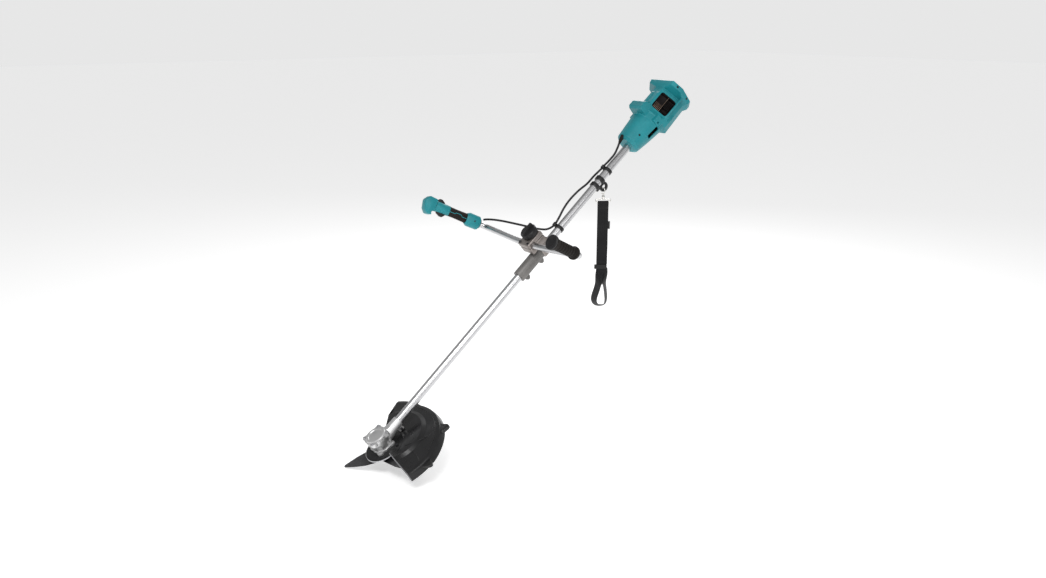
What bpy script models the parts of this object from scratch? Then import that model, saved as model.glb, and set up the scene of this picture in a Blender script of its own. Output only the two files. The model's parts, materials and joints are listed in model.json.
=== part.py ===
"""Battery brush cutter with bull-horn handlebar, blade guard and shoulder strap.

Tool frame: +X along the main tube from the gear head to the motor, +Y to the
operator's right, +Z up, square to the tube. The origin is on the tube's axis
under the handlebar clamp. The tool frame is tilted so that the tube rises
towards the motor; the strap hangs plumb from its eye in the world frame.
"""
import math

import bmesh
import bpy
from mathutils import Matrix, Vector

# ---------------------------------------------------------------- dimensions
GAP = 0.0003              # between touching pieces
TILT = math.radians(40)   # rise of the main tube

TUBE_R = 0.014
TUBE_BORE = 0.0125
TUBE_FRONT = -0.8160
TUBE_REAR = 0.560
DRIVE_R = 0.004

HEAD_X = -0.867                                   # where spindle and tube axes cross
HEAD_ANGLE = math.radians(79)                     # between the two axes
SPINDLE_R = 0.005
PINION_TEETH = 12
CROWN_TEETH = 16
CONE = 0.0233                                     # outer cone distance of the bevel gears
FACE = 0.0080                                     # tooth length
SOCKET_MOUTH = -0.776
CASE_R = 0.0380
CASE_FOOT = -0.0215
CASE_TOP = 0.0285
BRACKET_TOP = CASE_FOOT - 0.0003
BRACKET_R = 0.064
BLADE_R = 0.1525
BLADE_T = 0.0018
BLADE_H = -0.0355                                 # top of the blade along the spindle
BLADE_TURN = 34.0                                 # of the first tooth, forward to right

BAR_R = 0.011
BAR_X = -0.036
BAR_Z = 0.057
BAR_FLAT = 0.062
BEND_LEFT = 0.290
BEND_RIGHT = 0.264
BEND_RISE = 0.083         # rise of each arm per metre out
BEND_REACH = 0.022
KNOB_X = -0.008
GRIP_DIR = Vector((-0.38, 0.25, 0.89)).normalized()
RIGHT_GRIP_END = 0.250
LEFT_GRIP_START = 0.036
LEFT_GRIP_END = 0.178

CABLE_R = 0.0038
EYE_X = 0.326
EYE_Z = -0.031
EYE_HOLE = 0.0085
EYE_R = 0.018
STRAP_YAW = math.radians(-30)
WEB_W = 0.040

HOUSE_FRONT = 0.496
HOUSE_REAR = 0.770
SHELL_T = 0.003

X = Vector((1, 0, 0))
Y = Vector((0, 1, 0))
Z = Vector((0, 0, 1))
O = Vector((0, 0, 0))
SPINDLE = Vector((math.cos(HEAD_ANGLE), 0, math.sin(HEAD_ANGLE)))
HEAD = Vector((HEAD_X, 0, 0))

for old in list(bpy.data.objects):
    bpy.data.objects.remove(old, do_unlink=True)

# ------------------------------------------------------------------ materials
FINISHES = {
    "aluminium_tube": ((0.78, 0.78, 0.80), 0.28, 1.0),
    "cast_alloy": ((0.50, 0.50, 0.50), 0.45, 0.9),
    "clamp_alloy": ((0.38, 0.34, 0.33), 0.42, 0.8),
    "steel": ((0.55, 0.55, 0.57), 0.30, 1.0),
    "dark_steel": ((0.06, 0.06, 0.07), 0.35, 0.9),
    "guard_plastic": ((0.02, 0.02, 0.02), 0.25, 0.0),
    "black_plastic": ((0.03, 0.03, 0.032), 0.45, 0.0),
    "grey_plastic": ((0.20, 0.19, 0.18), 0.40, 0.2),
    "black_rubber": ((0.02, 0.018, 0.016), 0.75, 0.0),
    "teal_plastic": ((0.025, 0.32, 0.35), 0.38, 0.0),
    "cable_jacket": ((0.015, 0.015, 0.016), 0.50, 0.0),
    "webbing": ((0.012, 0.012, 0.013), 0.85, 0.0),
    "bronze": ((0.55, 0.36, 0.16), 0.35, 1.0),
    "circuit": ((0.03, 0.16, 0.08), 0.50, 0.0),
    "copper": ((0.70, 0.32, 0.17), 0.35, 1.0),
}


def make_materials():
    made = {}
    for name, (colour, rough, metal) in FINISHES.items():
        material = bpy.data.materials.new(name)
        material.use_nodes = True
        shader = material.node_tree.nodes["Principled BSDF"]
        shader.inputs["Base Color"].default_value = (*colour, 1.0)
        shader.inputs["Roughness"].default_value = rough
        shader.inputs["Metallic"].default_value = metal
        material.diffuse_color = (*colour, 1.0)
        made[name] = material
    return made


MATERIALS = make_materials()


# -------------------------------------------------------------------- helpers
def make_pivot(name, place, parent=None):
    """An empty on a joint's axis; what moves is parented to it."""
    empty = bpy.data.objects.new(name, None)
    bpy.context.scene.collection.objects.link(empty)
    empty.location = place
    empty.parent = parent
    return empty


def add_mesh(name, verts, faces, finish, pivot, smooth=True):
    """One closed mesh object, its points given in the frame that holds the pivot."""
    mesh = bpy.data.meshes.new(name)
    offset = pivot.location if pivot.parent else O
    mesh.from_pydata([Vector(v) - offset for v in verts], [], faces)
    work = bmesh.new()
    work.from_mesh(mesh)
    bmesh.ops.remove_doubles(work, verts=work.verts, dist=1e-6)
    bmesh.ops.recalc_face_normals(work, faces=work.faces)
    work.to_mesh(mesh)
    work.free()
    mesh.materials.append(MATERIALS[finish])
    if smooth:
        mesh.shade_smooth()
        mesh.set_sharp_from_angle(angle=math.radians(35))
    obj = bpy.data.objects.new(name, mesh)
    bpy.context.scene.collection.objects.link(obj)
    obj.parent = pivot
    return obj


def square_axes(axis, hint=None):
    """Two unit vectors square to an axis and to each other."""
    axis = axis.normalized()
    hint = hint or (Y if abs(axis.y) < 0.9 else X)
    first = (hint - axis * hint.dot(axis)).normalized()
    return first, axis.cross(first)


def loft(name, rings, finish, pivot, closed=False, smooth=True):
    """Skin a run of equal rings; closed joins the last ring to the first."""
    count = len(rings[0])
    verts = [point for ring in rings for point in ring]
    faces = []
    runs = len(rings) if closed else len(rings) - 1
    for i in range(runs):
        a = i * count
        b = ((i + 1) % len(rings)) * count
        for j in range(count):
            k = (j + 1) % count
            faces.append((a + j, a + k, b + k, b + j))
    if not closed:
        faces.append(tuple(range(count)))
        faces.append(tuple(range((len(rings) - 1) * count, len(rings) * count)))
    return add_mesh(name, verts, faces, finish, pivot, smooth)


def split_faces(obj):
    """Triangles in place of bent faces, so later cuts meet flat faces only."""
    work = bmesh.new()
    work.from_mesh(obj.data)
    bmesh.ops.triangulate(work, faces=work.faces)
    work.to_mesh(obj.data)
    work.free()
    return obj


def circle(centre, axis, radius, sides, hint=None, phase=0.0):
    a, b = square_axes(axis, hint)
    turn = [2 * math.pi * i / sides + phase for i in range(sides)]
    return [centre + a * (radius * math.cos(t)) + b * (radius * math.sin(t)) for t in turn]


def turned(name, profile, base, axis, finish, pivot, sides=32, ring=False):
    """Turn (distance along axis, radius) points; ring closes the profile on itself."""
    axis = axis.normalized()
    rings = [circle(base + axis * t, axis, r, sides) for t, r in profile]
    return loft(name, rings, finish, pivot, closed=ring)


def washer(name, start, end, inner, outer, base, axis, finish, pivot, sides=32):
    profile = [(start, inner), (start, outer), (end, outer), (end, inner)]
    return turned(name, profile, base, axis, finish, pivot, sides, ring=True)


def swept(name, points, radius, finish, pivot, sides=12, bore=0.0):
    """A round bar, or a tube when it has a bore, along a run of points."""
    points = [Vector(p) for p in points]
    rings = []
    inner = []
    guide = None
    for i, point in enumerate(points):
        ahead = points[min(i + 1, len(points) - 1)] - points[max(i - 1, 0)]
        ahead.normalize()
        first, second = square_axes(ahead, guide)
        guide = first
        for radii, group in ((radius, rings), (bore, inner)):
            ring = []
            for j in range(sides):
                t = 2 * math.pi * j / sides
                ring.append(point + first * (radii * math.cos(t)) + second * (radii * math.sin(t)))
            group.append(ring)
    if bore:
        return loft(name, rings + inner[::-1], finish, pivot, closed=True)
    return loft(name, rings, finish, pivot)


def block(name, low, high, finish, pivot, bevel=0.0, axes=(X, Y, Z), base=O):
    """A box between two corners, measured along three axes from a base point."""
    corners = []
    for i in range(8):
        pick = [(high if i >> k & 1 else low)[k] for k in range(3)]
        corners.append(base + axes[0] * pick[0] + axes[1] * pick[1] + axes[2] * pick[2])
    faces = [(0, 2, 3, 1), (4, 5, 7, 6), (0, 1, 5, 4), (2, 6, 7, 3), (0, 4, 6, 2), (1, 3, 7, 5)]
    obj = add_mesh(name, corners, faces, finish, pivot)
    if bevel:
        modifier = obj.modifiers.new("edges", "BEVEL")
        modifier.width = bevel
        modifier.segments = 2
    return obj


def plate(name, outline, low, high, finish, pivot, axes, base, smooth=True):
    """An outline in the first two axes, given thickness along the third."""
    rings = []
    for level in (low, high):
        rings.append([base + axes[0] * u + axes[1] * v + axes[2] * level for u, v in outline])
    return loft(name, rings, finish, pivot, smooth=smooth)


def boolean(obj, other, operation):
    modifier = obj.modifiers.new(operation.lower(), "BOOLEAN")
    modifier.operation = operation
    modifier.object = other
    modifier.solver = "EXACT"
    other.hide_render = True
    other.display_type = "WIRE"
    return obj


def cut(obj, *cutters):
    for cutter in cutters:
        boolean(obj, cutter, "DIFFERENCE")
    return obj


def fuse(obj, *others):
    for other in others:
        boolean(obj, other, "UNION")
    return obj


def rod(name, start, end, radius, pivot, finish="steel", sides=16):
    start = Vector(start)
    end = Vector(end)
    axis = (end - start).normalized()
    rings = [circle(start, axis, radius, sides), circle(end, axis, radius, sides)]
    return loft(name, rings, finish, pivot)


def screw(name, seat, axis, pivot, head_r=0.0042, head_h=0.003, shank_r=0.002, depth=0.012,
          finish="dark_steel"):
    """Cap screw: head above its seat, shank below; axis points out of the head."""
    profile = [(-depth, shank_r), (0.0, shank_r), (0.0, head_r), (head_h, head_r)]
    return turned(name, profile, Vector(seat), axis, finish, pivot, sides=12)


def smooth_route(points, step):
    """Evenly spaced points on a Catmull-Rom curve through the given ones."""
    points = [Vector(p) for p in points]
    dense = []
    for i in range(len(points) - 1):
        p0 = points[max(i - 1, 0)]
        p1, p2 = points[i], points[i + 1]
        p3 = points[min(i + 2, len(points) - 1)]
        for k in range(16):
            t = k / 16
            dense.append(0.5 * (2 * p1 + (p2 - p0) * t + (2 * p0 - 5 * p1 + 4 * p2 - p3) * t * t
                                + (3 * p1 - p0 - 3 * p2 + p3) * t ** 3))
    dense.append(points[-1])
    length = sum((b - a).length for a, b in zip(dense, dense[1:]))
    count = max(2, round(length / step))
    spaced = [dense[0]]
    walked = 0.0
    for a, b in zip(dense, dense[1:]):
        span = (b - a).length
        while len(spaced) < count and walked + span >= length * len(spaced) / count:
            spaced.append(a.lerp(b, (length * len(spaced) / count - walked) / span))
        walked += span
    spaced.append(dense[-1])
    return spaced


def lobed(radius, lug, lugs, spread, sides, turn=0.0):
    """A circle with rounded lugs, as points in a plane."""
    points = []
    for i in range(sides):
        t = 2 * math.pi * i / sides
        nearest = min(abs((t - turn - 2 * math.pi * k / lugs + math.pi) % (2 * math.pi) - math.pi)
                      for k in range(lugs))
        swell = lug * max(0.0, math.cos(min(nearest / spread, 1.0) * math.pi / 2)) ** 0.7
        points.append(((radius + swell) * math.cos(t), (radius + swell) * math.sin(t)))
    return points


TOOL = make_pivot("tool_frame", O)
TOOL.rotation_euler = (0, -TILT, 0)
ROOT = make_pivot("frame_pieces", O, TOOL)
HEAD_AXES = (*square_axes(SPINDLE, Y), SPINDLE)      # right, back-to-front, up


def head_point(right, front, up):
    return HEAD + HEAD_AXES[0] * right + HEAD_AXES[1] * front + HEAD_AXES[2] * up


# ------------------------------------------------------------ tube and drive
def build_tube():
    washer("main_tube", TUBE_FRONT, TUBE_REAR, TUBE_BORE, TUBE_R, O, X, "aluminium_tube", ROOT, 40)
    washer("shaft_liner", -0.70, 0.45, DRIVE_R + 0.0004, TUBE_BORE - GAP, O, X, "black_rubber", ROOT, 20)


def build_drive(pivot):
    rod("drive_shaft", (-0.8220, 0, 0), (0.6402, 0, 0), DRIVE_R, pivot, sides=16)
    rotor = [(0.574, DRIVE_R + GAP), (0.574, 0.012), (0.590, 0.012), (0.590, 0.024), (0.632, 0.024),
             (0.632, DRIVE_R + GAP)]
    hub = turned("motor_rotor", rotor, O, X, "dark_steel", pivot, 28, ring=True)
    for i in range(9):
        turn = 2 * math.pi * i / 9
        out = Y * math.cos(turn) + Z * math.sin(turn)
        side = X.cross(out)
        blade = block("fan_blade_%d" % (i + 1), (0.575, -0.0009, 0.011), (0.586, 0.0009, 0.031),
                      "black_plastic", pivot, axes=(X, (side + X * 0.5).normalized(), out))
        fuse(hub, blade)


# ------------------------------------------------------------------ gear head
def bevel_gear(name, teeth, cone_angle, axis, toward, phase, pivot, bore, hub):
    """Straight bevel gear whose teeth all point at the apex where the axes cross."""
    side = axis.cross(toward).normalized()
    toward = side.cross(axis)
    rings = []
    for cone in (CONE - FACE, CONE):
        pitch_r = cone * math.sin(cone_angle)
        height = 0.0011 * cone / CONE
        points = []
        for i in range(teeth):
            centre = 2 * math.pi * (i + phase) / teeth
            step = 2 * math.pi / teeth
            for turn, r in ((-0.28, -1), (-0.12, 1), (0.12, 1), (0.28, -1)):
                t = centre + turn * step
                radius = pitch_r + r * height * (1.0 if r > 0 else 1.2)
                direction = toward * math.cos(t) + side * math.sin(t)
                points.append(HEAD + axis * (cone * math.cos(cone_angle)) + direction * radius)
        rings.append(points)
    gear = loft(name, rings, "steel", pivot, smooth=False)
    if hub:
        fuse(gear, turned(name + "_hub", hub, HEAD, axis, "steel", pivot, 20))
    if bore:
        cut(gear, rod(name + "_bore", HEAD - axis * 0.02, HEAD + axis * 0.06, bore, pivot))
    return gear


def build_gears(drive, spindle):
    ratio = CROWN_TEETH / PINION_TEETH
    pinion_angle = math.atan2(math.sin(HEAD_ANGLE), ratio + math.cos(HEAD_ANGLE))
    crown_angle = HEAD_ANGLE - pinion_angle
    bevel_gear("pinion_gear", PINION_TEETH, pinion_angle, X, Z, 0.0, drive, 0,
               [(0.0185, 0.0062), (0.0445, 0.0062)])
    bevel_gear("output_gear_shaft", CROWN_TEETH, crown_angle, SPINDLE, X, 0.5, spindle, 0,
               [(-0.0560, SPINDLE_R), (0.0120, SPINDLE_R), (0.0120, 0.0090), (0.0230, 0.0090)])
    washer("pinion_bearing", 0.0325, 0.0405, 0.0065, 0.0125, HEAD, X, "steel", ROOT, 24)
    washer("lower_bearing", -0.0210, -0.0148, SPINDLE_R + GAP, 0.0122, HEAD, SPINDLE, "steel",
           ROOT, 24)


def build_gear_case():
    body = [(CASE_FOOT - 0.002, 0.0330), (-0.0120, 0.0300), (0.0020, 0.0335), (0.0150, CASE_R),
            (CASE_TOP + 0.002, CASE_R)]
    case = turned("gear_case", body, HEAD, SPINDLE, "cast_alloy", ROOT, 40)
    neck = [(0.000, 0.0250), (0.045, 0.0220), (0.060, 0.0190), (SOCKET_MOUTH - HEAD_X, 0.0180)]
    fuse(case, turned("case_neck", neck, HEAD, X, "cast_alloy", ROOT, 32))
    top = lobed(0.0385, 0.0090, 4, 0.30, 56, math.radians(45))
    fuse(case, plate("case_top_flange", top, CASE_TOP - 0.0070, CASE_TOP + 0.003, "cast_alloy", ROOT,
                     HEAD_AXES, HEAD))
    foot = lobed(0.0335, 0.0110, 4, 0.34, 48, math.radians(45))
    fuse(case, plate("case_foot", foot, CASE_FOOT - 0.003, CASE_FOOT + 0.0070, "cast_alloy", ROOT,
                     HEAD_AXES, HEAD))
    cut(case, turned("case_top_face", [(CASE_TOP, 0.0520), (0.070, 0.0520)], HEAD, SPINDLE, "steel", ROOT, 32))
    cut(case, turned("case_foot_face", [(-0.060, 0.0600), (CASE_FOOT, 0.0600)], HEAD, SPINDLE, "steel",
                     ROOT, 32))
    fuse(case, block("case_clamp_ear", (-0.800, -0.0110, -0.0290), (-0.781, 0.0110, -0.0120),
                     "cast_alloy", ROOT))
    bore = [(-0.050, 0.0125), (0.0050, 0.0125), (0.0050, 0.0215), (0.050, 0.0215)]
    cut(case, turned("case_spindle_bore", bore, HEAD, SPINDLE, "steel", ROOT, 32))
    bore = [(0.0, 0.0158), (0.0320, 0.0158), (0.0320, 0.0128), (0.0500, 0.0128),
            (0.0500, TUBE_R + GAP), (0.130, TUBE_R + GAP)]
    cut(case, turned("case_tube_bore", bore, HEAD, X, "steel", ROOT, 40))
    cut(case, block("case_split", (-0.806, -0.0008, -0.032), (-0.770, 0.0008, -0.010), "steel", ROOT))
    cut(case, rod("case_clamp_hole", (-0.7905, -0.02, -0.0225), (-0.7905, 0.02, -0.0225), 0.0028, ROOT))
    profile = [(-0.018, 0.0025), (0.0, 0.0025), (0.0, 0.0045), (0.0035, 0.0045)]
    turned("neck_bolt", profile, Vector((-0.7905, -0.0113, -0.0225)), -Y, "dark_steel", ROOT, 12)

    cap = plate("gear_case_cap", top, CASE_TOP + 0.0003, CASE_TOP + 0.0042, "cast_alloy", ROOT, HEAD_AXES, HEAD)
    dome = [(CASE_TOP + 0.0038, 0.0350), (CASE_TOP + 0.0068, 0.0335), (CASE_TOP + 0.0082, 0.0300),
            (CASE_TOP + 0.0082, 0.0255), (CASE_TOP + 0.0060, 0.0235), (CASE_TOP + 0.0060, 0.0060)]
    fuse(cap, turned("cap_ring", dome, HEAD, SPINDLE, "cast_alloy", ROOT, 40))
    spigot = [(CASE_TOP - 0.0035, 0.0120), (CASE_TOP - 0.0035, 0.0205), (CASE_TOP + 0.0010, 0.0205),
              (CASE_TOP + 0.0010, 0.0120)]
    fuse(cap, turned("cap_spigot", spigot, HEAD, SPINDLE, "cast_alloy", ROOT, 32, ring=True))
    for i in range(4):
        turn = math.radians(45 + 90 * i)
        high = head_point(0.0418 * math.cos(turn), 0.0418 * math.sin(turn), 0)
        hole = rod("cap_hole_%d" % (i + 1), high + SPINDLE * (CASE_TOP - 0.0100), high + SPINDLE * 0.05, 0.0023,
                   ROOT, sides=12)
        cut(cap, hole)
        cut(case, hole)
        screw("cap_screw_%d" % (i + 1), high + SPINDLE * (CASE_TOP + 0.0045), SPINDLE, ROOT, depth=0.0105)
    for i in (0, 2):
        turn = math.radians(45 + 90 * i)
        low = head_point(0.0388 * math.cos(turn), 0.0388 * math.sin(turn), 0)
        hole = rod("foot_hole_%d" % (i + 1), low - SPINDLE * 0.05, low + SPINDLE * (CASE_FOOT + 0.0060), 0.0023,
                   ROOT, sides=12)
        cut(case, hole)
        FOOT_HOLES.append((low, hole))


FOOT_HOLES = []
GUARD_BOLT_TURNS = (-58, 48)                    # degrees from straight back, + to the right
GUARD_BOLT_R = 0.0560


def polar(turn_deg, radius, up):
    """A point round the spindle: turn from straight back, positive to the right."""
    t = math.radians(turn_deg)
    return head_point(radius * math.sin(t), -radius * math.cos(t) * BACK_SIGN, up)


BACK_SIGN = 1.0 if HEAD_AXES[1].x < 0 else -1.0


def build_bracket_and_guard():
    bracket = washer("guard_bracket", BRACKET_TOP - 0.003, BRACKET_TOP, 0.0135, BRACKET_R, HEAD,
                     SPINDLE, "black_plastic", ROOT, 48)
    for i, (low, hole) in enumerate(FOOT_HOLES):
        cut(bracket, hole)
        screw("bracket_screw_%d" % (i + 1), low + SPINDLE * (BRACKET_TOP - 0.0033), -SPINDLE,
              ROOT, depth=0.0080, head_h=0.0025)
    wall = 0.0028
    rings = []
    steps = 26
    for i in range(steps + 1):
        turn = GUARD_LEFT + (GUARD_RIGHT - GUARD_LEFT) * i / steps
        step = guard_step(turn)
        reach = guard_reach(turn)
        section = [(0.0480, 0.0), (step, 0.0), (step + 0.014, -0.0090), (reach - 0.0180, -0.0110),
                   (reach - 0.0070, -0.0150),
                   (reach, -0.0400), (reach - 0.0028, -0.0400), (reach - 0.0095, -0.0170),
                   (reach - 0.0190, -0.0138),
                   (step + 0.0125, -0.0118), (step - 0.0015, -wall), (0.0480, -wall)]
        rings.append([polar(turn + guard_skew(turn, r / reach), r, BRACKET_TOP + GAP + wall + h)
                      for r, h in section])
    guard = loft("blade_guard", rings, "guard_plastic", ROOT)
    for name, turn, size in (("guard_point", -33, 0.024), ("guard_lug", -76, 0.020), ("guard_peak", 30, 0.018)):
        fuse(guard, guard_lug(name, turn, size))
    for i, turn in enumerate(GUARD_BOLT_TURNS):
        place = polar(turn, GUARD_BOLT_R, 0)
        hole = rod("guard_hole_%d" % (i + 1), place - SPINDLE * 0.05, place - SPINDLE * 0.01, 0.0029,
                   ROOT, sides=12)
        cut(guard, hole)
        cut(bracket, hole)
        screw("guard_bolt_%d" % (i + 1), place + SPINDLE * (BRACKET_TOP + 2 * GAP + wall), SPINDLE,
              ROOT, head_r=0.0055, head_h=0.0035, shank_r=0.0026, depth=0.0085)


GUARD_LEFT = -97.0
GUARD_RIGHT = 45.0
GUARD_R = 0.2060


def guard_step(turn):
    """Radius of the step in the plate, which draws in towards the left-hand end."""
    share = (turn - GUARD_LEFT) / (GUARD_RIGHT - GUARD_LEFT)
    return 0.084 + 0.068 * math.sin(min(share * 1.25, 1.0) * math.pi / 2)


def guard_reach(turn):
    """Rim radius: drawn in at the left-hand end, carried out at the right-hand one."""
    left = max(0.0, (-70.0 - turn) / (-70.0 - GUARD_LEFT))
    right = max(0.0, (turn - 15.0) / (GUARD_RIGHT - 15.0))
    return GUARD_R * (1.0 - 0.065 * left + 0.135 * right)


def guard_skew(turn, share):
    """Extra turn of the inner end of a section, so the right-hand edge isn't radial."""
    return 16.0 * max(0.0, (turn - 5.0) / (GUARD_RIGHT - 5.0)) * (1.0 - share)


def guard_lug(name, turn, size):
    outline = [(-size, -0.010), (-size * 0.35, size * 0.75), (0.0, size * 0.95), (size * 0.35, size * 0.75),
               (size, -0.010)]
    out = (polar(turn, 1, 0) - polar(turn, 0, 0)).normalized()
    side = SPINDLE.cross(out)
    return plate(name, outline, BRACKET_TOP - 0.0300, BRACKET_TOP - 0.0180, "guard_plastic", ROOT,
                 (side, out, SPINDLE), HEAD + out * (guard_reach(turn) - 0.0010))


def build_blade_stack(spindle):
    washer("blade_holder", BLADE_H + 0.0002, BRACKET_TOP - 0.0066, SPINDLE_R + GAP, 0.0400, HEAD, SPINDLE,
           "dark_steel", spindle, 40)
    tooth = [(0.050, -66), (0.060, -50), (0.082, -30), (0.116, -13), (0.148, -4), (BLADE_R, -1.5),
             (0.149, 1), (0.106, 10), (0.060, 30), (0.048, 44)]
    outline = []
    for k in range(3):
        for r, turn in tooth:
            t = math.radians(BLADE_TURN + 120 * k + turn)
            outline.append((r * math.cos(t), r * math.sin(t)))
    forward = polar(180, 1, 0) - polar(180, 0, 0)
    axes = (forward.normalized(), Y, SPINDLE)
    low = BLADE_H - BLADE_T
    blade = plate("cutting_blade", outline, low, BLADE_H, "dark_steel", spindle, axes, HEAD, smooth=False)
    cut(blade, rod("blade_bore", HEAD, HEAD - SPINDLE * 0.07, SPINDLE_R + GAP, spindle))
    bore = SPINDLE_R + GAP
    cup = [(low - 0.0003, bore), (low - 0.0003, 0.0230), (low - 0.0060, 0.0300), (low - 0.0180, 0.0320),
           (low - 0.0180, 0.0295), (low - 0.0085, 0.0275), (low - 0.0045, 0.0200), (low - 0.0045, bore)]
    turned("glide_cup", cup, HEAD, SPINDLE, "dark_steel", spindle, 36, ring=True)
    hexagon = [(0.0100 * math.cos(math.pi * i / 3), 0.0100 * math.sin(math.pi * i / 3)) for i in range(6)]
    nut = plate("blade_nut", hexagon, low - 0.0145, low - 0.0048, "steel", spindle, HEAD_AXES, HEAD, smooth=False)
    cut(nut, rod("nut_bore", HEAD, HEAD - SPINDLE * 0.08, bore, spindle))


# ------------------------------------------------------- sleeve, clamp and bar
def build_sleeve():
    sleeve = washer("shaft_sleeve", -0.140, -0.0255, TUBE_R + GAP, 0.0220, O, X, "grey_plastic",
                    ROOT, 40)
    for i, (start, end) in enumerate(((-0.130, -0.104), (-0.0425, -0.0165))):
        middle = (start + end) / 2
        outline = [(start, -0.0165), (start + 0.004, -0.030), (middle - 0.002, -0.0385),
                   (middle + 0.006, -0.0385), (end - 0.002, -0.030), (end, -0.0165)]
        fin = plate("sleeve_fin_%d" % (i + 1), outline, -0.004, 0.004, "grey_plastic", ROOT,
                    (X, Z, Y), Vector((-0.0095 * i, 0, 0)))
        fuse(sleeve, fin)
    cut(sleeve, rod("sleeve_bore", (-0.15, 0, 0), (0, 0, 0), TUBE_R + GAP, ROOT, sides=40))


def build_clamp(bar, knob):
    base = block("clamp_base", (-0.0250, -0.0215, -0.0215), (0.0290, 0.0215, 0.0300), "clamp_alloy",
                 ROOT, bevel=0.006)
    cut(base, rod("clamp_tube_bore", (-0.05, 0, 0), (0.05, 0, 0), TUBE_R + GAP, ROOT, sides=40))
    cut(base, rod("clamp_stud_hole", (KNOB_X, 0, 0.0155), (KNOB_X, 0, 0.04), 0.0043, ROOT))
    lower = block("bar_saddle", (-0.0560, -0.0300, 0.0303), (0.0180, 0.0300, BAR_Z - GAP / 2),
                  "clamp_alloy", bar, bevel=0.004)
    upper = block("bar_cap", (-0.0560, -0.0300, BAR_Z + GAP / 2), (0.0180, 0.0300, 0.0760),
                  "clamp_alloy", bar, bevel=0.004)
    groove = rod("saddle_groove", (BAR_X, -0.05, BAR_Z), (BAR_X, 0.05, BAR_Z), BAR_R + GAP, bar, sides=32)
    hole = rod("saddle_stud_hole", (KNOB_X, 0, 0.0), (KNOB_X, 0, 0.1), 0.0043, bar)
    for half in (lower, upper):
        cut(half, groove, hole)
    knob_profile = [(0.0160, 0.0038), (0.0764, 0.0038), (0.0764, 0.0140), (0.0790, 0.0290), (0.0960, 0.0300), (0.0990, 0.0270),
                    (0.0990, 0.0180)]
    dial = turned("clamp_knob", knob_profile, Vector((KNOB_X, 0, 0)), Z, "black_plastic", knob, 36)
    wing = block("knob_wing", (KNOB_X - 0.026, -0.0060, 0.0900), (KNOB_X + 0.026, 0.0060, 0.1100),
                 "black_plastic", knob, bevel=0.003)
    fuse(dial, wing)


def bar_corner(side):
    """Where an arm's line meets its grip's line, and the grip's direction."""
    out = BEND_RIGHT if side > 0 else BEND_LEFT
    corner = Vector((BAR_X + 0.005, side * out, BAR_Z + BEND_RISE * (out - BAR_FLAT)))
    return corner, Vector((GRIP_DIR.x, side * GRIP_DIR.y, GRIP_DIR.z))


def bar_route(side, last):
    """Centre line of one half of the handlebar, from the clamp to its end in the grip."""
    middle = Vector((BAR_X, 0, BAR_Z))
    flat = Vector((BAR_X, side * BAR_FLAT, BAR_Z))
    bend, grip = bar_corner(side)
    arm = (bend - flat).normalized()
    points = [middle, flat - Y * side * 0.02, flat + arm * 0.02]
    reach = BEND_REACH
    start = bend - arm * reach
    end = bend + grip * reach
    for i in range(9):
        t = i / 8
        points.append(start.lerp(bend, t).lerp(bend.lerp(end, t), t))
    points.append(bend + grip * last)
    return points


def build_bar(bar):
    left = bar_route(-1, 0.150)
    right = bar_route(1, 0.145)
    swept("handlebar_tube", left[::-1] + right[1:], BAR_R, "aluminium_tube", bar, sides=20, bore=0.0095)


def grip_frame(side):
    """Base point at the bar's bend, then the axes front, side and along the grip."""
    corner, along = bar_corner(side)
    front = (-X + along * along.x).normalized()
    return corner, (front, along.cross(front), along)


def oval(base, axes, along, half_front, half_side, sides, shift=0.0, power=1.0):
    ring = []
    for i in range(sides):
        t = 2 * math.pi * i / sides
        c, s = math.cos(t), math.sin(t)
        c = math.copysign(abs(c) ** power, c)
        s = math.copysign(abs(s) ** power, s)
        ring.append(base + axes[0] * (shift + half_front * c) + axes[1] * (half_side * s) + axes[2] * along)
    return ring


def build_left_grip(bar):
    base, axes = grip_frame(-1)
    start = LEFT_GRIP_START
    end = LEFT_GRIP_END
    rings = [oval(base, axes, start, 0.0215, 0.0200, 28), oval(base, axes, start + 0.010, 0.0225, 0.0210, 28)]
    ribs = 7
    for i in range(ribs):
        along = start + 0.016 + i * 0.0145
        rings.append(oval(base, axes, along, 0.0172, 0.0165, 28))
        rings.append(oval(base, axes, along + 0.009, 0.0182, 0.0172, 28))
    rings.append(oval(base, axes, end - 0.016, 0.0205, 0.0190, 28))
    rings.append(oval(base, axes, end - 0.0062, 0.0240, 0.0205, 28))
    grip = loft("left_grip", rings, "black_rubber", bar)
    cut(grip, rod("left_grip_bore", base + axes[2] * 0.0, base + axes[2] * 0.1503, BAR_R + GAP, bar, sides=28))
    cap = [oval(base, axes, end - 0.0059, 0.0245, 0.0208, 28), oval(base, axes, end - 0.0015, 0.0245, 0.0208, 28),
           oval(base, axes, end, 0.0222, 0.0186, 28)]
    loft("left_grip_cap", cap, "black_plastic", bar)


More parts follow.
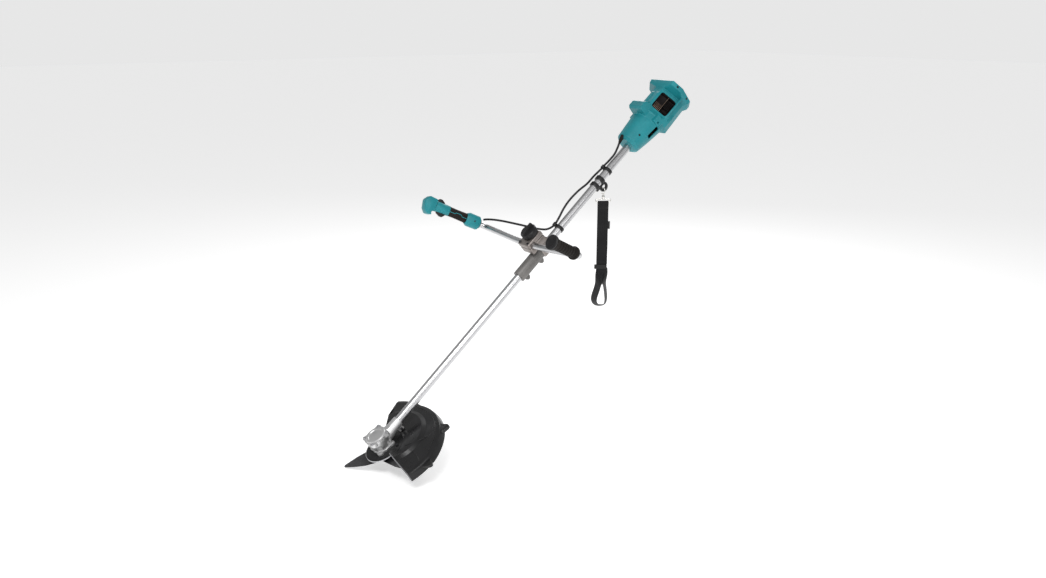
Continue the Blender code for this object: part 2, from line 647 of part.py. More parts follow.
def build_right_grip(bar, trigger, lever, button):
    base, axes = grip_frame(1)
    end = RIGHT_GRIP_END
    rings = [oval(base, axes, 0.0240, 0.0185, 0.0170, 28, power=0.8),
             oval(base, axes, 0.0300, 0.0250, 0.0205, 28, power=0.7),
             oval(base, axes, 0.0700, 0.0255, 0.0210, 28, power=0.7),
             oval(base, axes, 0.0800, 0.0200, 0.0175, 28, power=0.8)]
    collar = loft("grip_collar", rings, "teal_plastic", bar)
    cut(collar, rod("collar_bore", base, base + axes[2] * 0.1, BAR_R + GAP, bar, sides=28))
    rings = [oval(base, axes, 0.0803, 0.0180, 0.0165, 28), oval(base, axes, 0.125, 0.0170, 0.0160, 28),
             oval(base, axes, 0.180, 0.0185, 0.0168, 28, shift=0.0005),
             oval(base, axes, 0.2047, 0.0195, 0.0175, 28, shift=0.001)]
    body = loft("grip_body", rings, "black_rubber", bar)
    cut(body, rod("grip_bar_bore", base + axes[2] * 0.07, base + axes[2] * 0.1453, BAR_R + GAP, bar, sides=28))
    low = (0.0020, -0.0060, 0.1550)
    high = (0.0400, 0.0060, 0.1990)
    cut(body, block("trigger_slot", low, high, "steel", bar, axes=axes, base=base))
    cut(body, block("lever_slot", (-0.0300, -0.0062, 0.1710), (-0.0070, 0.0062, 0.2025), "steel", bar,
                    axes=axes, base=base))
    cut(body, block("button_slot", (-0.0052, -0.0250, 0.1598), (0.0052, -0.0110, 0.1702), "steel", bar,
                    axes=axes, base=base))

    outline = [(-0.0215, 0.2050), (0.0190, 0.2050), (0.0290, 0.2170), (0.0375, 0.2110), (0.0400, 0.2310),
               (0.0250, 0.2440), (-0.0060, end), (-0.0240, 0.2370)]
    guard = plate("grip_end_guard", outline, -0.0205, 0.0205, "teal_plastic", bar,
                  (axes[0], axes[2], axes[1]), base)
    bevel = guard.modifiers.new("edges", "BEVEL")
    bevel.width = 0.004
    bevel.segments = 2

    shape = [(0.0080, 0.1575), (0.0175, 0.1575), (0.0305, 0.1680), (0.0310, 0.1780), (0.0240, 0.1930),
             (0.0080, 0.1950)]
    plate("trigger", shape, -0.0054, 0.0054, "black_plastic", trigger, (axes[0], axes[2], axes[1]), base)
    shape = [(-0.0108, 0.1735), (-0.0108, 0.1995), (-0.0245, 0.1995), (-0.0290, 0.1950), (-0.0290, 0.1860),
             (-0.0210, 0.1735)]
    plate("lock_off_lever", shape, -0.0056, 0.0056, "black_plastic", lever, (axes[0], axes[2], axes[1]), base)
    turned("power_button", [(0.0130, 0.0046), (0.0190, 0.0046), (0.0196, 0.0040)], base + axes[2] * 0.165,
           -axes[1], "grey_plastic", button, 16)


# ---------------------------------------------------------- cable and its clips
HANDLE_ROUTE = [(-0.0180, 0.2620, 0.0960), (-0.0130, 0.2450, 0.0965), (-0.0060, 0.2100, 0.0960),
                (0.0010, 0.1650, 0.0930), (0.0090, 0.1200, 0.0850), (0.0200, 0.0800, 0.0710),
                (0.0300, 0.0560, 0.0560), (0.0365, 0.0450, 0.0470)]
MAIN_ROUTE = [(0.0375, 0.0434, 0.0455), (0.0450, 0.0320, 0.0370), (0.0560, 0.0200, 0.0270),
              (0.0700, 0.0125, 0.0220), (0.0840, 0.0105, 0.0190), (0.0960, 0.0105, 0.0190),
              (0.1200, 0.0120, 0.0230), (0.1600, 0.0165, 0.0300), (0.2000, 0.0180, 0.0325),
              (0.2450, 0.0160, 0.0300), (0.2850, 0.0130, 0.0235), (0.3250, 0.0125, 0.0225),
              (0.3550, 0.0110, 0.0200), (0.3680, 0.0105, 0.0190), (0.3800, 0.0105, 0.0190),
              (0.4050, 0.0060, 0.0200), (0.4350, 0.0015, 0.0230), (0.4600, 0.0000, 0.0320),
              (0.4760, 0.0000, 0.0395)]
BOOT_START = Vector((0.4775, 0, 0.0400))
BOOT_DIR = Vector((0.0240, 0, 0.0080)).normalized()


def build_cable(bar):
    step = CABLE_R * 2 * 2.2
    swept("handle_cable", smooth_route(HANDLE_ROUTE, step), CABLE_R, "cable_jacket", bar, sides=8)
    swept("main_cable", smooth_route(MAIN_ROUTE, step), CABLE_R, "cable_jacket", ROOT, sides=8)
    for name, place in (("lower_cable_clip", 0.090), ("upper_cable_clip", 0.374)):
        clip = rod(name, (place - 0.006, 0, 0), (place + 0.006, 0, 0), 0.0166, ROOT, "black_plastic", 32)
        lobe = rod(name + "_lobe", (place - 0.006, 0.0105, 0.0190), (place + 0.006, 0.0105, 0.0190), 0.0070,
                   ROOT, "black_plastic", 20)
        fuse(clip, lobe)
        cut(clip, rod(name + "_bore", (place - 0.02, 0, 0), (place + 0.02, 0, 0), TUBE_R + GAP, ROOT, sides=40))
        cut(clip, rod(name + "_cable_bore", (place - 0.02, 0.0105, 0.0190), (place + 0.02, 0.0105, 0.0190),
                      CABLE_R + 0.0012, ROOT))
    boot = [(0.0, CABLE_R + 0.0010), (0.022, 0.0072), (0.030, 0.0072)]
    turned("cable_boot", boot, BOOT_START, BOOT_DIR, "black_rubber", ROOT, 16)


# -------------------------------------------------------------- hanger and strap
def build_hanger():
    hanger = washer("hanger_clamp", 0.2920, 0.3050, TUBE_R + GAP, 0.0180, O, X, "black_plastic", ROOT, 36)
    fuse(hanger, washer("hanger_band", 0.3210, 0.3360, TUBE_R + GAP, 0.0180, O, X, "black_plastic",
                        ROOT, 36))
    fuse(hanger, block("hanger_bridge", (0.2920, -0.0065, -0.0215), (0.3360, 0.0065, -0.0155),
                       "black_plastic", ROOT))
    eye = rod("hanger_eye", (EYE_X, -0.0028, EYE_Z), (EYE_X, 0.0028, EYE_Z), EYE_R, ROOT,
              "black_plastic", 32)
    fuse(hanger, eye)
    cut(hanger, rod("hanger_eye_hole", (EYE_X, -0.01, EYE_Z), (EYE_X, 0.01, EYE_Z), EYE_HOLE, ROOT, sides=24))
    cut(hanger, rod("hanger_bore", (0.28, 0, 0), (0.35, 0, 0), TUBE_R + GAP, ROOT, sides=40))


def to_world(point):
    return Matrix.Rotation(-TILT, 3, "Y") @ Vector(point)


EYE = to_world((EYE_X, 0, EYE_Z))
HOOK_TOP = EYE.z - EYE_HOLE + 0.0034          # centre of the wire in the eye
RING_Z = EYE.z - 0.0510                       # strap ring
WEB_TOP = RING_Z - 0.0050
WEB_BOTTOM = EYE.z - 0.4600
WIRE = 0.0024
STRAP_AXES = (Vector((math.cos(STRAP_YAW), math.sin(STRAP_YAW), 0)),
              Vector((-math.sin(STRAP_YAW), math.cos(STRAP_YAW), 0)), Z)


def build_hook(hook, gate):
    """Snap hook in the plane square to the eye, its open side closed by a sprung gate."""
    base = Vector((EYE.x, 0, 0))
    half = 0.0078
    low = EYE.z - 0.0270
    points = []
    for i in range(9):                          # round the top, from the gate side
        t = math.pi * i / 8
        points.append(base + Y * (half * math.cos(t)) + Z * (HOOK_TOP - half + half * math.sin(t)))
    points.append(base - Y * half + Z * (low + half))
    for i in range(1, 5):
        t = math.pi / 2 * i / 4
        points.append(base - Y * (half * math.cos(t)) + Z * (low + half - half * math.sin(t)))
    nose = HOOK_TOP - half - 0.0015
    points.insert(0, base + Y * half + Z * nose)
    hook_body = swept("snap_hook", points, WIRE, "steel", hook, sides=10)
    foot = rod("hook_foot", (EYE.x, -0.004, low + 0.001), (EYE.x, half + 0.0024, low + 0.001), 0.0026,
               hook, sides=10)
    fuse(hook_body, foot)
    stem = [(low + 0.001, 0.0034), (low - 0.0060, 0.0034), (low - 0.0060, 0.0055), (low - 0.0080, 0.0055)]
    fuse(hook_body, turned("hook_stem", [(z - stem[0][0], r) for z, r in stem][::-1],
                           Vector((EYE.x, 0, stem[0][0])), Z, "steel", hook, 16))
    swept("hook_gate", [base + Y * half + Z * (nose - 0.0004), base + Y * half + Z * (low + 0.0042)],
          0.0018, "steel", gate, sides=8)
    return low - 0.0080


def ring_point(across, out, up):
    return Vector((EYE.x, 0, 0)) + STRAP_AXES[0] * across + STRAP_AXES[1] * out + Z * up


def build_strap(strap, stem_foot):
    half_w = 0.0270
    half_h = 0.0050
    outline = []
    for sx, sz in ((1, 1), (-1, 1), (-1, -1), (1, -1)):
        for k in range(4):
            t = math.pi / 2 * (k / 3 + {(1, 1): 0, (-1, 1): 1, (-1, -1): 2, (1, -1): 3}[(sx, sz)])
            outline.append(ring_point(sx * (half_w - 0.004) + 0.004 * math.cos(t),
                                      0, RING_Z + sz * (half_h - 0.004) + 0.004 * math.sin(t)))
    rings = []
    count = len(outline)
    for i, point in enumerate(outline):
        ahead = (outline[(i + 1) % count] - outline[i - 1]).normalized()
        first, second = square_axes(ahead, STRAP_AXES[1])
        rings.append([point + first * (0.0019 * math.cos(t)) + second * (0.0019 * math.sin(t))
                      for t in [2 * math.pi * j / 8 for j in range(8)]])
    ring = loft("strap_ring", rings, "steel", strap, closed=True)
    top = stem_foot - GAP
    collar = [(RING_Z + half_h - 0.0010 - top, 0.0040), (-0.0030, 0.0060), (0.0, 0.0060)]
    fuse(ring, turned("ring_swivel", collar, Vector((EYE.x, 0, top)), Z, "steel", strap, 16))

    # webbing: a folded end round the ring, two plies down, and a hanging hand loop
    thick = 0.0016
    inner = 0.0026
    fold = []
    for i in range(9):
        t = math.pi * i / 8
        fold.append((inner * math.cos(t), RING_Z - half_h + inner * math.sin(t)))
    outer_fold = []
    for i in range(9):
        t = math.pi * i / 8
        outer_fold.append(((inner + thick) * math.cos(t), RING_Z - half_h + (inner + thick) * math.sin(t)))
    slider_top = EYE.z - 0.2900
    outline = outer_fold + [(-0.0018, RING_Z - 0.030), (-0.0018, slider_top), (-0.00015, slider_top),
                            (-0.00015, RING_Z - 0.030)] + fold[::-1]
    outline += [(0.00015, RING_Z - 0.030), (0.00015, slider_top), (0.0018, slider_top), (0.0018, RING_Z - 0.030)]
    webbing = plate("strap_webbing", outline, -WEB_W / 2, WEB_W / 2, "webbing", strap,
          (STRAP_AXES[1], Z, STRAP_AXES[0]), Vector((EYE.x, 0, 0)))

    block("strap_slider", (-0.0270, -0.0050, slider_top - 0.0163), (0.0190, 0.0050, slider_top - GAP),
          "black_plastic", strap, bevel=0.0015, axes=STRAP_AXES, base=Vector((EYE.x, 0, 0)))
    top = slider_top - 0.0166
    bottom = WEB_BOTTOM
    mid = (top + bottom) / 2
    left = [(-0.0040, top), (-0.0150, top - 0.045), (-0.0330, top - 0.090), (-0.0400, bottom + 0.040),
            (-0.0330, bottom + 0.018), (-0.0140, bottom + 0.0040), (0.0040, bottom), (0.0200, bottom + 0.0060),
            (0.0290, bottom + 0.022), (0.0300, bottom + 0.045), (0.0260, mid), (0.0200, top)]
    inside = [(0.0020, top), (0.0030, top - 0.045), (0.0080, top - 0.090), (0.0095, bottom + 0.040),
              (0.0060, bottom + 0.0235), (-0.0060, bottom + 0.0215), (-0.0190, bottom + 0.0300),
              (-0.0230, bottom + 0.040), (-0.0190, top - 0.084), (-0.0060, top - 0.052)]
    loop = plate("strap_loop", left, -0.0030, 0.0030, "webbing", strap,
                 (STRAP_AXES[0], Z, STRAP_AXES[1]), Vector((EYE.x, 0, 0)), smooth=False)
    window = plate("loop_window", inside[1:], -0.01, 0.01, "webbing", strap,
                   (STRAP_AXES[0], Z, STRAP_AXES[1]), Vector((EYE.x, 0, 0)), smooth=False)
    cut(loop, window)
    fuse(webbing, block("strap_keeper", (0.0180, -0.0040, EYE.z - 0.1560), (0.0270, 0.0040, EYE.z - 0.1280),
                        "black_plastic", strap, axes=STRAP_AXES, base=Vector((EYE.x, 0, 0))))


# ---------------------------------------------------------------- motor housing
def house_section(place, half_w, top, bottom, shoulder, top_w):
    """Half outline, top centre to bottom centre: crown, sloping pack face, side, floor."""
    return (place, [(0.0, top), (top_w, top), (half_w, shoulder), (half_w, bottom * 0.45),
                    (half_w * 0.72, bottom), (0.0, bottom)])


def nose_section(place, radius, centre):
    turns = (90, 58, 20, -25, -62, -90)
    return (place, [(radius * math.cos(math.radians(t)), centre + radius * math.sin(math.radians(t)))
                    for t in turns])


HOUSE = [nose_section(HOUSE_FRONT, 0.034, 0.010), nose_section(HOUSE_FRONT + 0.010, 0.045, 0.009),
         nose_section(0.560, 0.052, 0.006), nose_section(0.630, 0.059, 0.003),
         house_section(0.632, 0.064, 0.063, -0.058, 0.020, 0.030),
         house_section(0.650, 0.0655, 0.063, -0.056, 0.001, 0.020),
         house_section(0.744, 0.0655, 0.063, -0.052, 0.001, 0.020),
         house_section(0.754, 0.0820, 0.072, -0.054, 0.034, 0.056),
         house_section(HOUSE_REAR, 0.0830, 0.074, -0.054, 0.036, 0.058)]
PACK_FACE_LOW = Vector((0.0, 0.0655, 0.001))
PACK_FACE_HIGH = Vector((0.0, 0.0200, 0.0630))


def inset_section(half, depth):
    """Move a half outline towards its inside by the wall."""
    moved = []
    for i, (y, z) in enumerate(half):
        before = half[max(i - 1, 0)]
        after = half[min(i + 1, len(half) - 1)]
        run = Vector((after[0] - before[0], after[1] - before[1])).normalized()
        inward = Vector((run.y, -run.x))
        if inward.dot(Vector((-y, 0.003 - z))) < 0:
            inward = -inward
        y_new = 0.0 if i in (0, len(half) - 1) else y + inward.x * depth
        moved.append((y_new, z + inward.y * depth if i not in (0, len(half) - 1)
                      else z - math.copysign(depth, z)))
    return moved


def half_shell(name, side):
    outer = []
    inner = []
    edge = GAP / 2
    for place, half in HOUSE:
        outer.append([Vector((place, side * max(y, edge), z)) for y, z in half])
        depth = SHELL_T
        x = place
        if place == HOUSE[0][0]:
            x = place + SHELL_T
        if place == HOUSE[-1][0]:
            x = place - SHELL_T
        inner.append([Vector((x, side * y, z)) for y, z in inset_section(half, depth)])
    body = split_faces(loft(name, outer, "teal_plastic", ROOT))
    axes = (X, Y * side, Z)
    fuse(body, block(name + "_hump", (0.6080, GAP / 2, 0.0350), (0.6450, 0.0330, 0.0930), "teal_plastic",
                     ROOT, axes=axes))
    room = []
    for ring in inner:
        first = Vector((ring[0].x, -side * 0.01, ring[0].z))
        last = Vector((ring[-1].x, -side * 0.01, ring[-1].z))
        room.append([first] + ring + [last])
    cut(body, split_faces(loft(name + "_room", room, "teal_plastic", ROOT)))
    cut(body, block(name + "_hump_room", (0.6110, -0.0100, 0.0450), (0.6420, 0.0300, 0.0900), "steel", ROOT,
                    axes=axes))
    cut(body, rod(name + "_tube_hole", (0.45, 0, 0), (0.53, 0, 0), TUBE_R + GAP, ROOT, sides=40))
    cut(body, rod(name + "_boot_hole", BOOT_START, BOOT_START + BOOT_DIR * 0.05, 0.0072 + GAP, ROOT, sides=24))
    out, down = pack_axes(side)
    window = block(name + "_window", (0.656, -0.0310, -0.020), (0.729, 0.0350, 0.020), "steel", ROOT,
                   axes=(X, down, out), base=pack_centre(side))
    cut(body, window)
    fuse(body, block(name + "_wing", (0.670, 0.0355, -0.0100), (0.766, 0.0405, 0.0200), "teal_plastic", ROOT,
                     axes=(X, down, out), base=pack_centre(side)))
    slot = block(name + "_slot", (0.560, -0.0090, -0.030), (0.612, 0.0090, 0.030), "steel", ROOT,
                 axes=(X, slot_axes(side)[1], slot_axes(side)[0]), base=slot_axes(side)[0] * 0.055)
    cut(body, slot)
    return body


def pack_centre(side):
    middle = (PACK_FACE_LOW + PACK_FACE_HIGH) / 2
    return Vector((0, side * middle.y, middle.z))


def pack_axes(side):
    """Outward normal and downhill direction of a sloping battery face."""
    down = PACK_FACE_LOW - PACK_FACE_HIGH
    down = Vector((0, side * down.y, down.z)).normalized()
    out = Vector((0, -down.z * side, down.y * side))
    return out.normalized(), down


def slot_axes(side):
    turn = math.radians(-8)
    out = Vector((0, side * math.cos(turn), math.sin(turn)))
    return out, Vector((0, -side * math.sin(turn), math.cos(turn)))


def build_housing():
    for name, side in (("housing_left", -1), ("housing_right", 1)):
        half_shell(name, side)
    for side, word in ((-1, "left"), (1, "right")):
        out, down = pack_axes(side)
        axes = (X, down, out)
        base = pack_centre(side)
        tray = block("pack_tray_" + word, (0.650, -0.0340, -0.0250), (0.734, 0.0345, -0.0042), "black_plastic",
                     ROOT, axes=axes, base=base)
        for k in (-1, 1):
            cut(tray, block("tray_well_%s_%d" % (word, k), (0.658, 0.002 + k * 0.0163 - 0.0148, -0.0200),
                            (0.727, 0.002 + k * 0.0163 + 0.0148, 0.010), "steel", ROOT, axes=axes, base=base))
        for k in range(4):
            low = (0.6560, 0.0080 + 0.0065 * k, -0.0215)
            high = (0.6740, 0.0102 + 0.0065 * k, -0.0090)
            fuse(tray, block("terminal_%s_%d" % (word, k), low, high, "bronze", ROOT, axes=axes, base=base))
    washer("motor_stator", 0.5900, 0.6330, 0.0250, 0.0380, O, X, "copper", ROOT, 32)
    for i, place in enumerate(((0.538, 0.026), (0.618, 0.012), (0.762, 0.052), (0.762, -0.004))):
        seat = Vector((place[0], 0.0007 - housing_width(*place), place[1]))
        screw("housing_screw_%d" % (i + 1), seat, -Y, ROOT, head_r=0.0036, head_h=0.0012, shank_r=0.0018,
              depth=0.004)
        recess = [(-0.0065, 0.0022), (-0.0003, 0.0022), (-0.0003, 0.0042), (0.0100, 0.0042)]
        cut(bpy.data.objects["housing_left"],
            turned("housing_hole_%d" % (i + 1), recess, seat, -Y, "steel", ROOT, 10))


def housing_width(x, z):
    """Half width of the housing's side at a place along the tube and a height."""
    for (a, low), (b, high) in zip(HOUSE, HOUSE[1:]):
        if a <= x <= b:
            t = (x - a) / (b - a)
            return max((1 - t) * side_at(low, z) + t * side_at(high, z), 0.0)
    return 0.0


def side_at(half, z):
    for (y1, z1), (y2, z2) in zip(half, half[1:]):
        if min(z1, z2) <= z <= max(z1, z2) and z1 != z2:
            return y1 + (y2 - y1) * (z - z1) / (z2 - z1)
    return max(y for y, _ in half)


# ------------------------------------------------------------------- assembly
def build():
    drive = make_pivot("drive_axis", O, TOOL)
    spindle = make_pivot("spindle_axis", HEAD, TOOL)
    bar = make_pivot("handlebar_swivel", Vector((KNOB_X, 0, 0.0302)), TOOL)
    knob = make_pivot("knob_axis", Vector((KNOB_X, 0, 0.0764)), TOOL)
    base, axes = grip_frame(1)
    trigger = make_pivot("trigger_pivot", base + axes[0] * 0.010 + axes[2] * 0.1910, TOOL)
    lever = make_pivot("lever_pivot", base - axes[0] * 0.0140 + axes[2] * 0.1970, TOOL)
    button = make_pivot("button_axis", base + axes[2] * 0.165, TOOL)
    hook = make_pivot("hook_pivot", Vector((EYE.x, 0, HOOK_TOP)), WORLD)
    gate = make_pivot("gate_pivot", Vector((EYE.x, 0.0078, EYE.z - 0.0270 + 0.0042)), WORLD)
    strap = make_pivot("strap_swivel", Vector((EYE.x, 0, RING_Z)), WORLD)
    build_tube()
    build_drive(drive)
    build_gears(drive, spindle)
    build_gear_case()
    build_bracket_and_guard()
    build_blade_stack(spindle)
    build_sleeve()
    build_clamp(bar, knob)
    build_bar(bar)
    build_left_grip(bar)
    build_right_grip(bar, trigger, lever, button)
    build_cable(bar)
    build_hanger()
    stem_foot = build_hook(hook, gate)
    build_strap(strap, stem_foot)
    build_housing()


WORLD = make_pivot("plumb_frame", O)
build()
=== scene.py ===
"""Looks of the battery brush cutter: finishes, softened edges, moulded housing, guard, strap and cables."""
import contextlib
import json
import math

import bpy
from mathutils import Matrix, Vector

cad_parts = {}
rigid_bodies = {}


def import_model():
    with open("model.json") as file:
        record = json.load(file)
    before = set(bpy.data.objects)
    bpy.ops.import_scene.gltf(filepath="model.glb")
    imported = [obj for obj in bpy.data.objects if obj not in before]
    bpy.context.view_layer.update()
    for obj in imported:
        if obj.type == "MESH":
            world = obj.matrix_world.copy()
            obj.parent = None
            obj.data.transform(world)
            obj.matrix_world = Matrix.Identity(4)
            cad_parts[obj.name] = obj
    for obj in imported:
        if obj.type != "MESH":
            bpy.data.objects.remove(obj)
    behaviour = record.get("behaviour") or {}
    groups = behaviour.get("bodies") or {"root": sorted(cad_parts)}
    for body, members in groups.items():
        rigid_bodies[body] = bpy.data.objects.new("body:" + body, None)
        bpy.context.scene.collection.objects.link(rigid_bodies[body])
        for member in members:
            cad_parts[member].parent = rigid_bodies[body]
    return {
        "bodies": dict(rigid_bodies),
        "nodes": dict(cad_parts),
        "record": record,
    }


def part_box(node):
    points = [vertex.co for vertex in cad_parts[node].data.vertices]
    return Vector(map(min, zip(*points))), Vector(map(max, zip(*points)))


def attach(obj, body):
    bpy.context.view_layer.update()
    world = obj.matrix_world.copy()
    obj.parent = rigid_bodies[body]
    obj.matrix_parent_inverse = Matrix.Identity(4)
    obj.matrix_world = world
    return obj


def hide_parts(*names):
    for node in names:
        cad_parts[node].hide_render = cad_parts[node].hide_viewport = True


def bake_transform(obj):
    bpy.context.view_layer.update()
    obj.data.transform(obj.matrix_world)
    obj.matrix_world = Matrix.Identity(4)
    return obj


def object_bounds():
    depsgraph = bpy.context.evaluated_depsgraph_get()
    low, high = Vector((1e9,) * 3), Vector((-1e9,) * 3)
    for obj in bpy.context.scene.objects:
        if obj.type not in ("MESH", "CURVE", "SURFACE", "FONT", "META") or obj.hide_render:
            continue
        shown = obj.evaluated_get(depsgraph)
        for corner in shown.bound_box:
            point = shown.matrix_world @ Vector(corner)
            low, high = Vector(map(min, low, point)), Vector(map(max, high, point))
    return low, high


for old in list(bpy.data.objects):
    bpy.data.objects.remove(old, do_unlink=True)
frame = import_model()
NODES = frame["nodes"]
BODIES = frame["bodies"]
cad_box = [list(corner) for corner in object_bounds()]

TILT = math.radians(40)                       # rise of the main tube
TOOL = Matrix.Rotation(-TILT, 4, "Y")         # tool frame: +X along the tube, +Z square to it
X = Vector((1, 0, 0))
Y = Vector((0, 1, 0))
Z = Vector((0, 0, 1))
ORIGIN = Vector((0, 0, 0))
SMOOTH = math.radians(40)                     # faces that meet at less are shaded as one
GRAIN_SCALE = 900.0                           # scale of the usual fine grain
SHADE_SCALE = 14.0                            # scale of slow changes of shade
GRAIN_DEPTH = 0.0003
RUB_START = 0.53                              # pointiness at which an edge starts to look rubbed
RUB_END = 0.62
WARP_SCALE = 98.68                            # webbing ribs, on a UV map in metres
WEFT_SCALE = 66.85


def row(x, y, z):
    """A tool-frame point in the row frame."""
    return TOOL @ Vector((x, y, z))


# ------------------------------------------------------------------ node groups
def new_group(name, inputs, outputs):
    """An empty shader group with number inputs and the named outputs."""
    group = bpy.data.node_groups.new(name, "ShaderNodeTree")
    for label, value in inputs:
        socket = group.interface.new_socket(label, in_out="INPUT", socket_type="NodeSocketFloat")
        socket.default_value = value
    for label in outputs:
        group.interface.new_socket(label, in_out="OUTPUT", socket_type="NodeSocketFloat")
    return group, group.nodes.new("NodeGroupInput"), group.nodes.new("NodeGroupOutput")


def make_grain_group():
    """Fine moulded or cast grain: a height for bump and a slow mask for colour and gloss."""
    group, given, out = new_group("surface_grain", [("Fine", GRAIN_SCALE), ("Slow", SHADE_SCALE)],
                                  ["Height", "Mask"])
    nodes, links = group.nodes, group.links
    place = nodes.new("ShaderNodeTexCoord")
    fine = nodes.new("ShaderNodeTexNoise")
    fine.inputs["Detail"].default_value = 3.0
    slow = nodes.new("ShaderNodeTexNoise")
    slow.inputs["Detail"].default_value = 5.0
    slow.inputs["Roughness"].default_value = 0.62
    for noise, label in ((fine, "Fine"), (slow, "Slow")):
        links.new(place.outputs["Object"], noise.inputs["Vector"])
        links.new(given.outputs[label], noise.inputs["Scale"])
    links.new(fine.outputs["Fac"], out.inputs["Height"])
    links.new(slow.outputs["Fac"], out.inputs["Mask"])
    return group


def make_wear_group():
    """Rubbed high edges, broken up by noise, as a mask from 0 to 1."""
    group, given, out = new_group("rubbed_edges", [("Start", RUB_START), ("End", RUB_END)], ["Mask"])
    nodes, links = group.nodes, group.links
    shape = nodes.new("ShaderNodeNewGeometry")
    place = nodes.new("ShaderNodeTexCoord")
    noise = nodes.new("ShaderNodeTexNoise")
    noise.inputs["Scale"].default_value = 160.0
    noise.inputs["Detail"].default_value = 6.0
    ramp = nodes.new("ShaderNodeMapRange")
    both = nodes.new("ShaderNodeMath")
    both.operation = "MULTIPLY"
    links.new(place.outputs["Object"], noise.inputs["Vector"])
    links.new(shape.outputs["Pointiness"], ramp.inputs["Value"])
    links.new(given.outputs["Start"], ramp.inputs["From Min"])
    links.new(given.outputs["End"], ramp.inputs["From Max"])
    links.new(ramp.outputs["Result"], both.inputs[0])
    links.new(noise.outputs["Fac"], both.inputs[1])
    links.new(both.outputs["Value"], out.inputs["Mask"])
    return group


GRAIN = make_grain_group()
WEAR = make_wear_group()


# -------------------------------------------------------------------- materials
class Finish:
    """A Principled material under construction, with the links that most finishes share."""

    def __init__(self, name, rough, metal):
        self.material = bpy.data.materials.new(name)
        self.material.use_nodes = True
        self.nodes = self.material.node_tree.nodes
        self.links = self.material.node_tree.links
        self.shader = self.nodes["Principled BSDF"]
        self.shader.inputs["Roughness"].default_value = rough
        self.shader.inputs["Metallic"].default_value = metal

    def group(self, tree, **values):
        node = self.nodes.new("ShaderNodeGroup")
        node.node_tree = tree
        for label, value in values.items():
            node.inputs[label].default_value = value
        return node

    def blend(self, mask, dark, light):
        """A colour between two, by a mask; returns the colour output."""
        mix = self.nodes.new("ShaderNodeMix")
        mix.data_type = "RGBA"
        self.links.new(mask, mix.inputs["Factor"])
        for socket, value in ((mix.inputs[6], dark), (mix.inputs[7], light)):
            if isinstance(value, tuple):
                socket.default_value = (*value, 1.0)
            else:
                self.links.new(value, socket)
        return mix.outputs[2]

    def span(self, mask, low, high, start=0.3, end=0.7):
        """A number from low to high as the mask goes from start to end."""
        ramp = self.nodes.new("ShaderNodeMapRange")
        ramp.inputs["From Min"].default_value = start
        ramp.inputs["From Max"].default_value = end
        ramp.inputs["To Min"].default_value = low
        ramp.inputs["To Max"].default_value = high
        self.links.new(mask, ramp.inputs["Value"])
        return ramp.outputs["Result"]

    def colour(self, output):
        self.links.new(output, self.shader.inputs["Base Color"])

    def rough(self, output):
        self.links.new(output, self.shader.inputs["Roughness"])

    def bump(self, height, strength, depth=0.0004):
        node = self.nodes.new("ShaderNodeBump")
        node.inputs["Strength"].default_value = strength
        node.inputs["Distance"].default_value = depth
        self.links.new(height, node.inputs["Height"])
        self.links.new(node.outputs["Normal"], self.shader.inputs["Normal"])


def grained(name, dark, light, rough, metal, fine, slow, bump, worn=None, depth=GRAIN_DEPTH):
    """A moulded or cast finish: grain, slow shade changes, and optionally paler rubbed edges."""
    finish = Finish(name, sum(rough) / 2, metal)
    grain = finish.group(GRAIN, Fine=fine, Slow=slow)
    shade = finish.blend(finish.span(grain.outputs["Mask"], 0.0, 1.0), dark, light)
    if worn:
        wear = finish.group(WEAR, Start=RUB_START, End=RUB_END)
        shade = finish.blend(wear.outputs["Mask"], shade, worn)
    finish.colour(shade)
    finish.rough(finish.span(grain.outputs["Mask"], *rough))
    finish.bump(grain.outputs["Height"], bump, depth)
    return finish


def drawn_metal(name, dark, light, rough, turn, stretch):
    """Drawn or brushed metal: noise pulled out along one direction of the piece."""
    finish = Finish(name, sum(rough) / 2, 1.0)
    place = finish.nodes.new("ShaderNodeTexCoord")
    pull = finish.nodes.new("ShaderNodeMapping")
    pull.inputs["Rotation"].default_value = turn
    pull.inputs["Scale"].default_value = stretch
    lines = finish.nodes.new("ShaderNodeTexNoise")
    lines.inputs["Scale"].default_value = 60.0
    lines.inputs["Detail"].default_value = 4.0
    finish.links.new(place.outputs["Object"], pull.inputs["Vector"])
    finish.links.new(pull.outputs["Vector"], lines.inputs["Vector"])
    finish.colour(finish.blend(lines.outputs["Fac"], dark, light))
    finish.rough(finish.span(lines.outputs["Fac"], *rough))
    finish.bump(lines.outputs["Fac"], 0.02, 0.00005)
    return finish


def woven(name, dark, light):
    """Webbing: warp ribs along the strap crossed by weft, on the piece's own UV map in metres."""
    finish = Finish(name, 0.85, 0.0)
    place = finish.nodes.new("ShaderNodeUVMap")
    place.uv_map = "weave"
    heights = []
    for direction, scale in (("X", WARP_SCALE), ("Y", WEFT_SCALE)):
        wave = finish.nodes.new("ShaderNodeTexWave")
        wave.bands_direction = direction
        wave.inputs["Scale"].default_value = scale
        wave.inputs["Distortion"].default_value = 0.4
        finish.links.new(place.outputs["UV"], wave.inputs["Vector"])
        heights.append(wave.outputs["Fac"])
    cross = finish.nodes.new("ShaderNodeMath")
    cross.operation = "MULTIPLY"
    finish.links.new(heights[0], cross.inputs[0])
    finish.links.new(heights[1], cross.inputs[1])
    fuzz = finish.group(GRAIN, Fine=2200.0, Slow=30.0)
    finish.colour(finish.blend(cross.outputs["Value"], dark, light))
    finish.rough(finish.span(fuzz.outputs["Mask"], 0.72, 0.92))
    finish.shader.inputs["Sheen Weight"].default_value = 0.25
    finish.shader.inputs["Sheen Roughness"].default_value = 0.5
    finish.bump(cross.outputs["Value"], 0.6, 0.0004)
    return finish


def grey(level):
    return level, level, level


